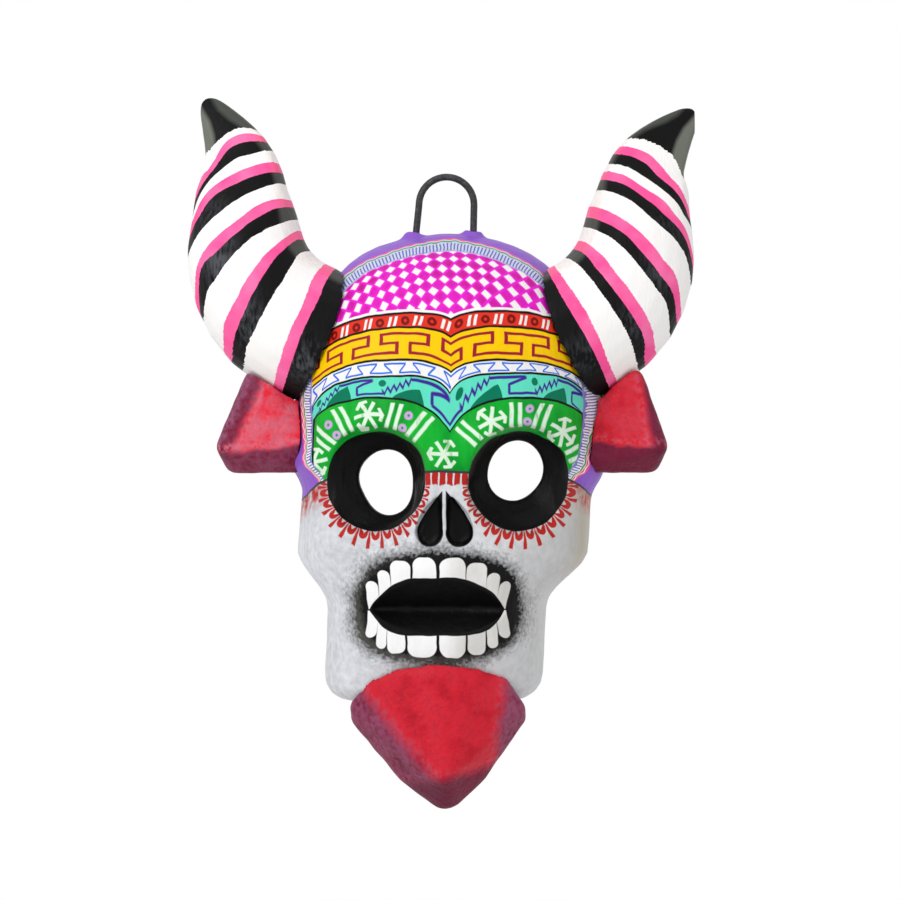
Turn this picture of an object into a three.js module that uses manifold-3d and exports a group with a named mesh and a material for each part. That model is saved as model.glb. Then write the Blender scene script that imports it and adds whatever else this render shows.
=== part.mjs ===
// Painted clay wall mask: a horned skull with ears, a goatee and a wire hanging loop.
// Millimetres. +Z is up, the wall is the plane y = 0 and the face looks towards -Y.
// The origin is on the wall, level with the underside of the hanging loop.

import * as THREE from 'three';
import { ConvexGeometry } from 'three/addons/geometries/ConvexGeometry.js';
import { mergeVertices } from 'three/addons/utils/BufferGeometryUtils.js';
import Module from 'manifold-3d';

const wasm = await Module();
wasm.setup();

const { clamp, lerp, smoothstep } = THREE.MathUtils;

// Gap between pieces that touch
const seatGap = 0.3;

// Hanging loop
const wireDiameter = 2.6;
const loopFootSpacing = 21;
const loopArchRadius = 9.7;
const loopClearHeight = 18.9;
const loopStandOff = 7;
const loopMidX = -0.4;
const loopLean = 1.2;
const wireSetDepth = 8;
const footLumpRadius = 3.6;
const footLumpSpread = 1.15;
const footLumpFlatness = 0.75;
const legShare = 0.25;

// Clay walls
const shellWall = 6;
const crownWall = 12;
const hornWall = 6;
const ventDiameter = 6;
const ventReach = 0.3;

// Skull outline, seen from the front
const skullHeight = 163.5;
const craniumHeight = 66.5;
const craniumHalfWidth = 54;
const craniumRoundness = 2.5;
const cheekHalfWidth = 51.2;
const craniumFootDrop = 79;
const cheekTopDrop = 88.5;
const cheekEndDrop = 111;
const jawHalfWidth = 38.6;
const jawTopDrop = 131;
const chinRadius = 9;
const craniumMidX = 0.8;
const faceLean = 0.0485;

// Skull depth from the wall
const craniumDepth = 58;
const craniumDepthRoundness = 2.3;
const jawDepth = 50;
const craniumSquareness = 2.6;
const jawSquareness = 3.6;

// Eye sockets and the holes through them
const eyeDrop = 86.7;
const eyeMidX = 3;
const eyeSpacing = 52.8;
const socketHalfWidth = 17.2;
const socketHalfHeight = 16.8;
const socketSquareness = 2.4;
const socketDepth = 12;
const socketTurn = 17;
const socketBulge = 1.12;
const socketReach = 18;
const browHeight = 2.6;
const browCrest = 1.2;
const browSpread = 0.4;
const eyeHoleHalfWidth = 9.6;
const eyeHoleHalfHeight = 11;
const eyeHoleInset = 3.2;
const rightEyeHoleLift = 2.6;

// Nose
const noseTopDrop = 90.6;
const noseHeight = 17.9;
const noseHalfWidth = 9.3;
const noseMidX = 2.5;
const septumWidth = 2.2;
const noseRidge = 2.6;
const nostrilDepth = 5;
const nostrilWidestShare = 0.76;
const nostrilTopRound = 3;
const nostrilFlank = 7;
const nostrilFootRound = 2;

// Cheekbones
const cheekboneDrop = 104;
const cheekboneSpacing = 76;
const cheekboneHeight = 4.5;
const cheekboneHalfWidth = 13;
const cheekboneHalfHeight = 10;

// Muzzle and the V-cut mouth
const mouthDrop = 130.4;
const mouthMidX = -0.7;
const mouthHalfWidth = 23.4;
const mouthUpperRise = 10.5;
const mouthLowerDrop = 8.6;
const mouthDepth = 9;
const mouthFullness = 2.8;
const muzzleHalfWidth = 33;
const muzzleHalfHeight = 22;
const muzzleHeight = 5.5;
const muzzleFlatShare = 0.62;
const muzzleFootShare = 1.22;

// Horns, each measured from its root inside the cranium
const hornBaseRadius = 24.4;
const hornTipRadius = 2.8;
const hornTaper = 2;
const hornRootShare = 0.17;
const hornTipRoundShare = 0.035;
const hornFlatness = 0.86;
const hornMidX = -0.8;
const hornRootX = 29;
const hornRootDrop = 41;
const hornReach = 40.4;
const hornElbowRise = 49.2;
const hornTipRise = 40;
const hornTipFlare = 14;
const hornStandOff = 21.8;
const hornLeanBack = 10;
const rightHornFlareMore = 3.9;
const rightHornRiseLess = 4.5;
const hornFacets = { ringCount: 24, ringPoints: 24 };
const hornHollowFacets = { ringCount: 12, ringPoints: 16 };

// Ears
const earMidX = -0.8;
const earTopDrop = 47.5;
const earHeight = 37;
const earReach = 78;
const earTopReach = 68.6;
const earRidgeDrop = 27.4;
const earFront = 38;
const earRootFront = 33;
const earBack = 12;
const earRake = 5;
const earEdgeRadius = 4.4;
const rightEarSetBack = 4;
const rightEarTopOut = 2.6;
const rightEarTipOut = 1;

// Goatee
const goateeTopDrop = 147.2;
const goateeArch = 12.8;
const goateeHalfWidth = 25.5;
const goateeRidgeDrop = 38;
const goateeTipDrop = 200;
const goateeMidX = -1.2;
const goateeTipX = 1.2;
const goateeFront = 60;
const goateeTopRake = 3;
const goateeSideRake = 9;
const goateeFlankFront = 40;
const goateeBack = 16;
const goateeEdgeRadius = 5;
const goateeTipRadius = 7.5;
const goateeArchShares = [-1, -0.8, -0.45, 0, 0.45, 0.8, 1];
const goateeFlankShare = 0.55;
const goateeFlankFall = 0.6;
const goateeFootShare = 0.25;

// Levels that follow from the drops below the crown
const crownZ = -loopClearHeight;
const widestZ = crownZ - craniumHeight;
const craniumFootZ = crownZ - craniumFootDrop;
const chinZ = crownZ - skullHeight;
const cheekTopZ = crownZ - cheekTopDrop;
const cheekEndZ = crownZ - cheekEndDrop;
const jawTopZ = crownZ - jawTopDrop;
const eyeZ = crownZ - eyeDrop;
const noseTopZ = crownZ - noseTopDrop;
const cheekboneZ = crownZ - cheekboneDrop;
const mouthZ = crownZ - mouthDrop;

const throughCut = 90;
const sides = [-1, 1];

// The face's centre line leans a little, as a mask made by hand does
function centreX(z) {
  return craniumMidX - faceLean * Math.max(0, widestZ - z);
}

// Closed solids

function solidOf(geometry) {
  const bare = geometry.clone();
  bare.deleteAttribute('normal');
  bare.deleteAttribute('uv');
  const merged = mergeVertices(bare, 1e-4);
  const vertProperties = new Float32Array(merged.attributes.position.array);
  const triVerts = new Uint32Array(merged.index.array);
  if (signedVolume(vertProperties, triVerts) < 0) {
    for (let i = 0; i < triVerts.length; i += 3) {
      [triVerts[i], triVerts[i + 1]] = [triVerts[i + 1], triVerts[i]];
    }
  }
  return new wasm.Manifold(new wasm.Mesh({ numProp: 3, vertProperties, triVerts }));
}

function signedVolume(vertices, triangles) {
  const corners = [new THREE.Vector3(), new THREE.Vector3(), new THREE.Vector3()];
  let volume = 0;
  for (let i = 0; i < triangles.length; i += 3) {
    corners.forEach((corner, k) => corner.fromArray(vertices, triangles[i + k] * 3));
    volume += corners[0].dot(corners[1].clone().cross(corners[2])) / 6;
  }
  return volume;
}

function geometryOf(solid) {
  const mesh = solid.getMesh();
  const geometry = new THREE.BufferGeometry();
  const positions = [];
  for (let i = 0; i < mesh.vertProperties.length; i += mesh.numProp) {
    positions.push(...mesh.vertProperties.slice(i, i + 3));
  }
  geometry.setAttribute('position', new THREE.Float32BufferAttribute(positions, 3));
  geometry.setIndex([...mesh.triVerts]);
  return geometry;
}

// A closed skin over rings of equal length, with a point in the middle of each end
function loft(rings, startPoint, endPoint) {
  const count = rings[0].length;
  const positions = [...rings.flat(), startPoint, endPoint].flatMap((p) => p.toArray());
  const start = rings.length * count;
  const end = start + 1;
  const index = [];
  for (let i = 0; i < count; i++) {
    const next = (i + 1) % count;
    for (let j = 0; j + 1 < rings.length; j++) {
      const a = j * count + i;
      const b = j * count + next;
      index.push(a, b, b + count, a, b + count, a + count);
    }
    const last = (rings.length - 1) * count;
    index.push(start, next, i, end, last + i, last + next);
  }
  const geometry = new THREE.BufferGeometry();
  geometry.setAttribute('position', new THREE.Float32BufferAttribute(positions, 3));
  geometry.setIndex(index);
  return geometry;
}

function meanPoint(points) {
  const sum = points.reduce((total, p) => total.add(p), new THREE.Vector3());
  return sum.divideScalar(points.length);
}

// A rounded lump: the skin stretched over balls at its corners
function lump(corners) {
  const points = [];
  for (const { x, y, z, radius } of corners) {
    const ball = new THREE.IcosahedronGeometry(radius, 2);
    const position = ball.attributes.position;
    for (let i = 0; i < position.count; i++) {
      points.push(new THREE.Vector3().fromBufferAttribute(position, i).add(new THREE.Vector3(x, y, z)));
    }
  }
  return solidOf(new ConvexGeometry(points));
}

// A flat outline in x and z, cut from depth nearY to farY
function outlineCut(shape, nearY, farY) {
  const geometry = new THREE.ExtrudeGeometry(shape, {
    depth: farY - nearY,
    bevelEnabled: false,
    curveSegments: 14,
  });
  geometry.rotateX(Math.PI / 2);
  geometry.translate(0, farY, 0);
  return solidOf(geometry);
}

function rodBetween(from, to, radius) {
  const geometry = new THREE.CylinderGeometry(radius, radius, from.distanceTo(to), 16);
  geometry.rotateX(Math.PI / 2);
  geometry.applyMatrix4(new THREE.Matrix4().lookAt(from, to, new THREE.Vector3(0, 1, 0)));
  geometry.translate(...from.clone().lerp(to, 0.5).toArray());
  return solidOf(geometry);
}

// Skull form

function superRadius(dx, dz, halfWidth, halfHeight, power) {
  return (Math.abs(dx / halfWidth) ** power + Math.abs(dz / halfHeight) ** power) ** (1 / power);
}

function mound(dx, dz, halfWidth, halfHeight) {
  return Math.exp(-((dx / halfWidth) ** 2) - (dz / halfHeight) ** 2);
}

function eyeX(side) {
  return eyeMidX + (side * eyeSpacing) / 2;
}

function faceRelief(x, z) {
  let height = 0;
  for (const side of sides) {
    const r = superRadius(x - eyeX(side), z - eyeZ, socketHalfWidth, socketHalfHeight, 2);
    const above = smoothstep(z, eyeZ - socketHalfHeight / 2, eyeZ + socketHalfHeight);
    height += browHeight * above * Math.exp(-(((r - browCrest) / browSpread) ** 2));
    const dx = x - centreX(z) - (side * cheekboneSpacing) / 2;
    height += cheekboneHeight * mound(dx, z - cheekboneZ, cheekboneHalfWidth, cheekboneHalfHeight);
  }
  const noseMidZ = noseTopZ - noseHeight * 0.45;
  height += noseRidge * mound(x - noseMidX, z - noseMidZ, noseHalfWidth, noseHeight * 0.6);
  const muzzle = superRadius(x - centreX(z), z - mouthZ, muzzleHalfWidth, muzzleHalfHeight, 3);
  height += muzzleHeight * (1 - smoothstep(muzzle, muzzleFlatShare, muzzleFootShare));
  return height;
}

// Half-width, depth and squareness of the horizontal section at one level
function skullSection(z, grow, topWall) {
  const rise = clamp((z - widestZ) / (craniumHeight + topWall), 0, 1);
  const roundWidth = (1 - rise ** craniumRoundness) ** (1 / craniumRoundness);
  const roundDepth = (1 - rise ** craniumDepthRoundness) ** (1 / craniumDepthRoundness);
  const upper = lerp(cheekHalfWidth, craniumHalfWidth, smoothstep(z, cheekTopZ, craniumFootZ));
  const width = lerp(jawHalfWidth, upper, smoothstep(z, jawTopZ, cheekEndZ));
  const depth = lerp(jawDepth, craniumDepth, smoothstep(z, chinZ, widestZ));
  const below = clamp((chinZ - grow + chinRadius - z) / chinRadius, 0, 1);
  const chinCut = chinRadius * (1 - Math.sqrt(1 - below ** 2));
  return {
    halfWidth: (width + grow) * roundWidth - chinCut,
    depth: (depth + grow) * roundDepth - chinCut,
    squareness: lerp(jawSquareness, craniumSquareness, smoothstep(z, jawTopZ, cheekTopZ)),
  };
}

// Relief fades out towards the side walls
function reliefShare(baseDepth, fullDepth) {
  return smoothstep(baseDepth, 0, fullDepth * 0.5);
}

// Depth of the front surface in front of the wall
function frontDepth(x, z) {
  const { halfWidth, depth, squareness } = skullSection(z, 0, 0);
  const across = clamp(Math.abs(x - centreX(z)) / halfWidth, 0, 1);
  const base = depth * (1 - across ** squareness) ** (1 / squareness);
  return base + faceRelief(x, z) * reliefShare(base, depth);
}

// Points along one section, equally spaced from its right edge round the front to its left edge
function sectionPoints(z, form) {
  const { halfWidth, depth, squareness } = skullSection(z, form.grow, form.topWall);
  const fine = [];
  const fineSteps = 180;
  for (let i = 0; i <= fineSteps; i++) {
    const angle = (Math.PI * i) / fineSteps;
    const across = Math.sign(Math.cos(angle)) * Math.abs(Math.cos(angle)) ** (2 / squareness);
    const along = Math.sin(angle) ** (2 / squareness);
    fine.push(new THREE.Vector2(halfWidth * across, i % fineSteps === 0 ? 0 : depth * along));
  }
  const lengths = [0];
  for (let i = 1; i < fine.length; i++) {
    lengths.push(lengths[i - 1] + fine[i].distanceTo(fine[i - 1]));
  }
  const points = [];
  let k = 0;
  for (let i = 0; i <= form.segments; i++) {
    const target = (lengths[fineSteps] * i) / form.segments;
    while (k < fineSteps - 1 && lengths[k + 1] < target) {
      k++;
    }
    const share = clamp((target - lengths[k]) / (lengths[k + 1] - lengths[k]), 0, 1);
    const p = fine[k].clone().lerp(fine[k + 1], share);
    const x = centreX(z) + p.x;
    points.push(new THREE.Vector3(x, -p.y - form.relief(x, z) * reliefShare(p.y, depth), z));
  }
  if (form.behind > 0) {
    points.push(new THREE.Vector3(centreX(z) - halfWidth, form.behind, z));
    points.push(new THREE.Vector3(centreX(z) + halfWidth, form.behind, z));
  }
  return points;
}

// Levels of the sections: close together round the chin and towards the crown
function sectionLevels(form) {
  const levels = [];
  const bottom = chinZ - form.grow;
  const chinSteps = 4;
  for (let i = 0; i < chinSteps; i++) {
    levels.push(bottom + chinRadius * (1 - Math.cos((Math.PI / 2) * (i / chinSteps))));
  }
  for (let i = 0; i < form.faceSlices; i++) {
    levels.push(lerp(bottom + chinRadius, widestZ, i / form.faceSlices));
  }
  for (let i = 0; i < form.crownSlices; i++) {
    levels.push(widestZ + (craniumHeight + form.topWall) * Math.sin((Math.PI / 2) * (i / form.crownSlices)));
  }
  return levels;
}

function skullForm(form) {
  const levels = sectionLevels(form);
  const rings = levels.map((z) => sectionPoints(z, form));
  const topZ = widestZ + craniumHeight + form.topWall;
  return solidOf(loft(rings, meanPoint(rings[0]), new THREE.Vector3(centreX(topZ), 0, topZ)));
}

const outerForm = skullForm({
  grow: 0,
  topWall: 0,
  relief: faceRelief,
  segments: 44,
  faceSlices: 23,
  crownSlices: 14,
  behind: 0,
});

const hollowForm = skullForm({
  grow: -shellWall,
  topWall: -crownWall,
  relief: () => 0,
  segments: 26,
  faceSlices: 13,
  crownSlices: 9,
  behind: shellWall,
});

// What is luted to the skull is cut by this form
const seatForm = skullForm({
  grow: seatGap,
  topWall: seatGap,
  relief: faceRelief,
  segments: 44,
  faceSlices: 23,
  crownSlices: 14,
  behind: shellWall,
});

// Cuts in the face

// The bowl of an eye socket, turned outwards with the curve of the face
function socketBowl(side, grow) {
  const geometry = new THREE.SphereGeometry(1, 30, 18);
  geometry.rotateX(Math.PI / 2);
  const position = geometry.attributes.position;
  for (let i = 0; i < position.count; i++) {
    const p = new THREE.Vector3().fromBufferAttribute(position, i);
    const round = Math.hypot(p.x, p.y);
    const square = superRadius(p.x, p.y, 1, 1, socketSquareness);
    const stretch = square > 0 ? round / square : 1;
    position.setXYZ(i, p.x * stretch, p.y * stretch, p.z);
  }
  geometry.rotateX(Math.PI / 2);
  const halfWidth = socketHalfWidth * socketBulge + grow;
  const halfHeight = socketHalfHeight * socketBulge + grow;
  geometry.scale(halfWidth, socketReach + grow, halfHeight);
  geometry.rotateZ(THREE.MathUtils.degToRad(side * socketTurn));
  geometry.translate(eyeX(side), -frontDepth(eyeX(side), eyeZ) + socketDepth - socketReach, eyeZ);
  return solidOf(geometry);
}

function eyeHole(side) {
  const shape = new THREE.Shape();
  const x = eyeX(side) - side * eyeHoleInset;
  const z = side > 0 ? eyeZ + rightEyeHoleLift : eyeZ;
  shape.absellipse(x, z, eyeHoleHalfWidth, eyeHoleHalfHeight, 0, Math.PI * 2);
  return outlineCut(shape, -throughCut, 0);
}

function nostril(side) {
  const inner = noseMidX + (side * septumWidth) / 2;
  const outer = noseMidX + side * noseHalfWidth;
  const bottomZ = noseTopZ - noseHeight;
  const widestNoseZ = noseTopZ - noseHeight * nostrilWidestShare;
  const shape = new THREE.Shape();
  shape.moveTo(inner, noseTopZ);
  const across = (share) => lerp(inner, outer, share);
  const flankZ = widestNoseZ + nostrilFlank;
  const footZ = bottomZ + nostrilFootRound;
  shape.bezierCurveTo(across(0.35), noseTopZ - nostrilTopRound, outer, flankZ, outer, widestNoseZ);
  shape.bezierCurveTo(outer, footZ, across(0.75), bottomZ, across(0.5), bottomZ);
  shape.bezierCurveTo(across(0.2), bottomZ, inner, footZ, inner, widestNoseZ);
  shape.closePath();
  const floorY = -frontDepth(across(0.5), widestNoseZ) + nostrilDepth;
  return outlineCut(shape, -throughCut, floorY);
}

// A wedge whose edge is the mouth's crease and whose faces meet the skin along the lips
function mouthCut() {
  const rings = [];
  const steps = 18;
  for (let i = 0; i <= steps; i++) {
    const u = -0.995 * Math.cos((Math.PI * i) / steps);
    const x = mouthMidX + mouthHalfWidth * u;
    const open = 1 - Math.abs(u) ** mouthFullness;
    const creaseY = -frontDepth(x, mouthZ) + mouthDepth * Math.sqrt(open);
    const crease = new THREE.Vector3(x, creaseY, mouthZ);
    const lips = [mouthUpperRise * open, -mouthLowerDrop * open].map((rise) => {
      const lip = new THREE.Vector3(x, -frontDepth(x, mouthZ + rise), mouthZ + rise);
      return crease.clone().lerp(lip, 2);
    });
    rings.push([crease, ...lips]);
  }
  return solidOf(loft(rings, meanPoint(rings[0]), meanPoint(rings[steps])));
}

// Hanging loop

function footX(side) {
  return loopMidX + (side * loopFootSpacing) / 2;
}

// Two straight legs that splay a little, joined by a half round arch
class LoopPath extends THREE.Curve {
  constructor(footZ) {
    super();
    this.archX = loopMidX + loopLean;
    this.archZ = wireDiameter / 2 - loopArchRadius;
    this.feet = sides.map((side) => new THREE.Vector2(footX(side), footZ));
    this.shoulders = sides.map((side) => new THREE.Vector2(this.archX + side * loopArchRadius, this.archZ));
    this.legs = this.feet.map((foot, k) => foot.distanceTo(this.shoulders[k]));
    this.arch = Math.PI * loopArchRadius;
  }

  getPoint(t, target = new THREE.Vector3()) {
    const along = t * (this.legs[0] + this.arch + this.legs[1]);
    const beyondArch = along - this.legs[0] - this.arch;
    let p;
    if (along < this.legs[0]) {
      p = this.feet[0].clone().lerp(this.shoulders[0], along / this.legs[0]);
    } else if (beyondArch > 0) {
      p = this.shoulders[1].clone().lerp(this.feet[1], beyondArch / this.legs[1]);
    } else {
      const angle = Math.PI - (along - this.legs[0]) / loopArchRadius;
      p = new THREE.Vector2(this.archX + loopArchRadius * Math.cos(angle), this.archZ);
      p.y += loopArchRadius * Math.sin(angle);
    }
    return target.set(p.x, -loopStandOff, p.y);
  }
}

// Height of the crown's skin over a point at the loop's stand-off
function crownSkinZ(x) {
  let low = widestZ;
  let high = crownZ;
  for (let i = 0; i < 40; i++) {
    const middle = (low + high) / 2;
    if (frontDepth(x, middle) > loopStandOff) {
      low = middle;
    } else {
      high = middle;
    }
  }
  return low;
}

const legFootZ = sides.map((side) => crownSkinZ(footX(side)));
const loopPath = new LoopPath(Math.max(...legFootZ) - wireSetDepth);

function hangerLoop() {
  const section = new THREE.Shape();
  section.absarc(0, 0, wireDiameter / 2, 0, Math.PI * 2);
  const geometry = new THREE.ExtrudeGeometry(section, {
    steps: 44,
    curveSegments: 5,
    bevelEnabled: false,
    extrudePath: loopPath,
  });
  return solidOf(geometry);
}

function footLump(side, k) {
  const geometry = new THREE.SphereGeometry(footLumpRadius, 14, 10);
  geometry.scale(footLumpSpread, footLumpSpread, footLumpFlatness);
  geometry.translate(footX(side), -loopStandOff, legFootZ[k]);
  return solidOf(geometry);
}

// The bore that a leg of the loop is set into
function wireSeat(side, path) {
  const foot = path.getPoint(side < 0 ? 0 : 1);
  const shoulder = path.getPoint(side < 0 ? legShare : 1 - legShare);
  const below = foot.clone().sub(shoulder).setLength(seatGap);
  return rodBetween(foot.clone().add(below), shoulder, wireDiameter / 2 + seatGap);
}

// Horns

// The middle line of a horn, from its root inside the cranium to its tip
function hornPath(side) {
  const right = side > 0 ? 1 : 0;
  const tipX = hornReach + hornTipFlare + right * rightHornFlareMore;
  const tipZ = hornElbowRise + hornTipRise - right * rightHornRiseLess;
  const points = [
    [0, 0, 0],
    [hornReach * 0.38, 0, hornElbowRise * 0.1],
    [hornReach * 0.72, 0, hornElbowRise * 0.28],
    [hornReach * 0.93, hornLeanBack * 0.1, hornElbowRise * 0.57],
    [hornReach, hornLeanBack * 0.3, hornElbowRise * 0.98],
    [lerp(hornReach, tipX, 0.1), hornLeanBack * 0.58, lerp(hornElbowRise, tipZ, 0.42)],
    [tipX, hornLeanBack, tipZ],
  ].map(([x, y, z]) => {
    const rooted = new THREE.Vector3(x + hornRootX, y - hornStandOff, z + crownZ - hornRootDrop);
    return rooted.setX(hornMidX + side * rooted.x);
  });
  return new THREE.CatmullRomCurve3(points, false, 'centripetal');
}

// Radius along the horn: full at the root, tapering to a rounded tip
function hornRadius(u) {
  const along = clamp((u - hornRootShare) / (1 - hornRootShare), 0, 1);
  const radius = lerp(hornBaseRadius, hornTipRadius, along ** hornTaper);
  const round = clamp((u - 1 + hornTipRoundShare) / hornTipRoundShare, 0, 1);
  return radius * Math.sqrt(1 - round ** 2);
}

// Rings square to the path, thinned by the wall for the hollow inside
function hornForm(side, grow, { ringCount, ringPoints }) {
  const path = hornPath(side);
  const rings = [];
  let endU = 1;
  while (hornRadius(endU) + grow < hornTipRadius / 2) {
    endU -= 0.005;
  }
  for (let j = 0; j <= ringCount; j++) {
    const u = endU * Math.sin((Math.PI / 2) * (j / ringCount)) ** 1.15;
    const radius = Math.max(hornRadius(u) + grow, hornTipRadius / 8);
    const middle = path.getPointAt(u);
    const tangent = path.getTangentAt(u);
    const across = tangent.clone().cross(new THREE.Vector3(0, 1, 0)).normalize();
    const front = across.clone().cross(tangent).normalize();
    const ring = [];
    for (let i = 0; i < ringPoints; i++) {
      const angle = (2 * Math.PI * i) / ringPoints;
      const p = middle.clone();
      p.addScaledVector(across, radius * Math.cos(angle));
      p.addScaledVector(front, radius * hornFlatness * Math.sin(angle));
      ring.push(p);
    }
    rings.push(ring);
  }
  return solidOf(loft(rings, meanPoint(rings[0]), meanPoint(rings[ringCount])));
}

// A bore from inside the skull into the horn, so that its hollow can vent in the kiln
function hornVent(side) {
  const path = hornPath(side);
  return rodBetween(path.getPointAt(0), path.getPointAt(ventReach), ventDiameter / 2);
}

function horn(side) {
  const outside = hornForm(side, 0, hornFacets);
  const inside = hornForm(side, -hornWall, hornHollowFacets);
  return outside.subtract(inside).subtract(seatForm);
}

// Ears

function ear(side) {
  const r = earEdgeRadius;
  const top = crownZ - earTopDrop - r;
  const ridge = crownZ - earTopDrop - earRidgeDrop;
  const bottom = crownZ - earTopDrop - earHeight + r;
  const root = cheekHalfWidth - shellWall;
  const right = side > 0 ? 1 : 0;
  const topX = earTopReach + right * rightEarTopOut - r;
  const tip = earReach + right * rightEarTipOut - r;
  const front = r - earFront;
  const rootFront = r - earRootFront + right * rightEarSetBack;
  const back = -earBack - r;
  const under = (front + back) / 2;
  const corners = [
    [topX, front + earRake, top],
    [topX - r, back, top],
    [tip, front + earRake / 2, ridge],
    [tip, back, ridge],
    [tip - r / 2, under, bottom],
    [root, rootFront, ridge],
    [root, rootFront + earRake, top - 2 * r],
    [root, under, bottom],
    [root, back, ridge],
  ].map(([x, y, z]) => ({ x: earMidX + side * x, y, z, radius: r }));
  const hornSeat = hornForm(side, seatGap, hornFacets);
  return lump(corners).subtract(seatForm).subtract(hornSeat);
}

// Goatee

function goatee() {
  const r = goateeEdgeRadius;
  const front = r - goateeFront;
  const shoulder = crownZ - goateeTopDrop - goateeArch - r;
  const ridge = crownZ - goateeTopDrop - goateeRidgeDrop;
  const tip = crownZ - goateeTipDrop;
  const corners = [];
  for (const share of goateeArchShares) {
    corners.push({
      x: goateeMidX + goateeHalfWidth * share,
      y: front + goateeTopRake + goateeSideRake * share ** 2,
      z: shoulder + goateeArch * Math.sqrt(1 - share ** 2),
      radius: r,
    });
  }
  corners.push({ x: goateeTipX, y: front, z: ridge, radius: r });
  corners.push({ x: goateeTipX, y: -goateeFlankFront, z: tip + goateeTipRadius, radius: goateeTipRadius });
  for (const side of sides) {
    const x = goateeMidX + side * goateeHalfWidth;
    const flankX = lerp(x, goateeTipX, goateeFlankShare);
    const flankZ = lerp(shoulder, tip, goateeFlankFall);
    corners.push({ x, y: -goateeFlankFront, z: shoulder - r / 2, radius: r });
    corners.push({ x: flankX, y: -goateeFlankFront, z: flankZ, radius: r });
    corners.push({ x: lerp(x, goateeTipX, goateeFootShare), y: -goateeBack - r, z: chinZ - r, radius: r });
  }
  return lump(corners).subtract(seatForm);
}

// Skull shell

function skullShell() {
  let shell = outerForm;
  sides.forEach((side, k) => {
    shell = shell.add(footLump(side, k));
  });
  let hollow = hollowForm;
  for (const side of sides) {
    hollow = hollow.subtract(socketBowl(side, shellWall));
  }
  shell = shell.subtract(hollow).subtract(mouthCut());
  for (const side of sides) {
    shell = shell.subtract(socketBowl(side, 0)).subtract(eyeHole(side)).subtract(nostril(side));
    shell = shell.subtract(hornVent(side)).subtract(wireSeat(side, loopPath));
  }
  return shell;
}

// The assembly

const clay = { roughness: 0.55, metalness: 0 };
const finishes = {
  skull: new THREE.MeshStandardMaterial({ color: 0xc9c8cc, ...clay }),
  horn: new THREE.MeshStandardMaterial({ color: 0xf2eee8, ...clay }),
  red: new THREE.MeshStandardMaterial({ color: 0xb8152c, ...clay }),
  iron: new THREE.MeshStandardMaterial({ color: 0x1c1b1b, roughness: 0.5, metalness: 0.8 }),
};

function piece(name, solid, material) {
  const mesh = new THREE.Mesh(geometryOf(solid), material);
  mesh.name = name;
  return mesh;
}

const group = new THREE.Group();
group.add(
  piece('skull_shell', skullShell(), finishes.skull),
  piece('horn_left', horn(-1), finishes.horn),
  piece('horn_right', horn(1), finishes.horn),
  piece('ear_left', ear(-1), finishes.red),
  piece('ear_right', ear(1), finishes.red),
  piece('goatee', goatee(), finishes.red),
  piece('hanger_loop', hangerLoop(), finishes.iron),
);

export default group;
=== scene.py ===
"""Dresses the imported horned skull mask: hand-modelled clay, folk paint, wire loop and stage."""
import math

import bpy
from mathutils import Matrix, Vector


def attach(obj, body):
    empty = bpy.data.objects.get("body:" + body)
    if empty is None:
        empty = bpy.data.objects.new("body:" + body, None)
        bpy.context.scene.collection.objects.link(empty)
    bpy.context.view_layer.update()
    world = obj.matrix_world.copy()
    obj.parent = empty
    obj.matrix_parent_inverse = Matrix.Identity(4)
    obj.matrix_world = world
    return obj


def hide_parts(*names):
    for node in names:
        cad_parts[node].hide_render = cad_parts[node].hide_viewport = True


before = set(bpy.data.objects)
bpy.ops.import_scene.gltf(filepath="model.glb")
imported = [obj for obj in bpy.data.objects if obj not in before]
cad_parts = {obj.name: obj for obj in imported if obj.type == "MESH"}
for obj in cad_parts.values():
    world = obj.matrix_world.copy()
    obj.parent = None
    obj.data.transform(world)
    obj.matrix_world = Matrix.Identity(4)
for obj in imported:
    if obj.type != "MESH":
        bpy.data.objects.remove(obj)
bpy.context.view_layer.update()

bl_info = {
    "name": "Horned Skull Mask",
    "version": (1, 0, 0),
    "blender": (4, 5, 0),
    "location": "View3D > Sidebar > Skull Mask",
    "description": "Dresses a packed skull mask in painted clay",
    "category": "Object",
}

MM = 1000.0  # shader sizes are reckoned in millimetres
EDGE = 0.25  # softness of a painted edge, in millimetres


# Colours and properties


def linear(*levels):
    """Scene-linear colour of three display levels from 0 to 255."""
    shares = [level / 255 for level in levels]
    return tuple(s / 12.92 if s <= 0.04045 else ((s + 0.055) / 1.055) ** 2.4 for s in shares)


def colour(name, *levels):
    """A colour that a user may change."""
    return bpy.props.FloatVectorProperty(
        name=name, description=f"Colour of the {name.lower()}", subtype="COLOR",
        size=3, min=0.0, max=1.0, default=linear(*levels))


def length(name, description, default):
    """A length that a user may change."""
    return bpy.props.FloatProperty(
        name=name, description=description, default=default, unit="LENGTH", precision=4)


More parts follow.
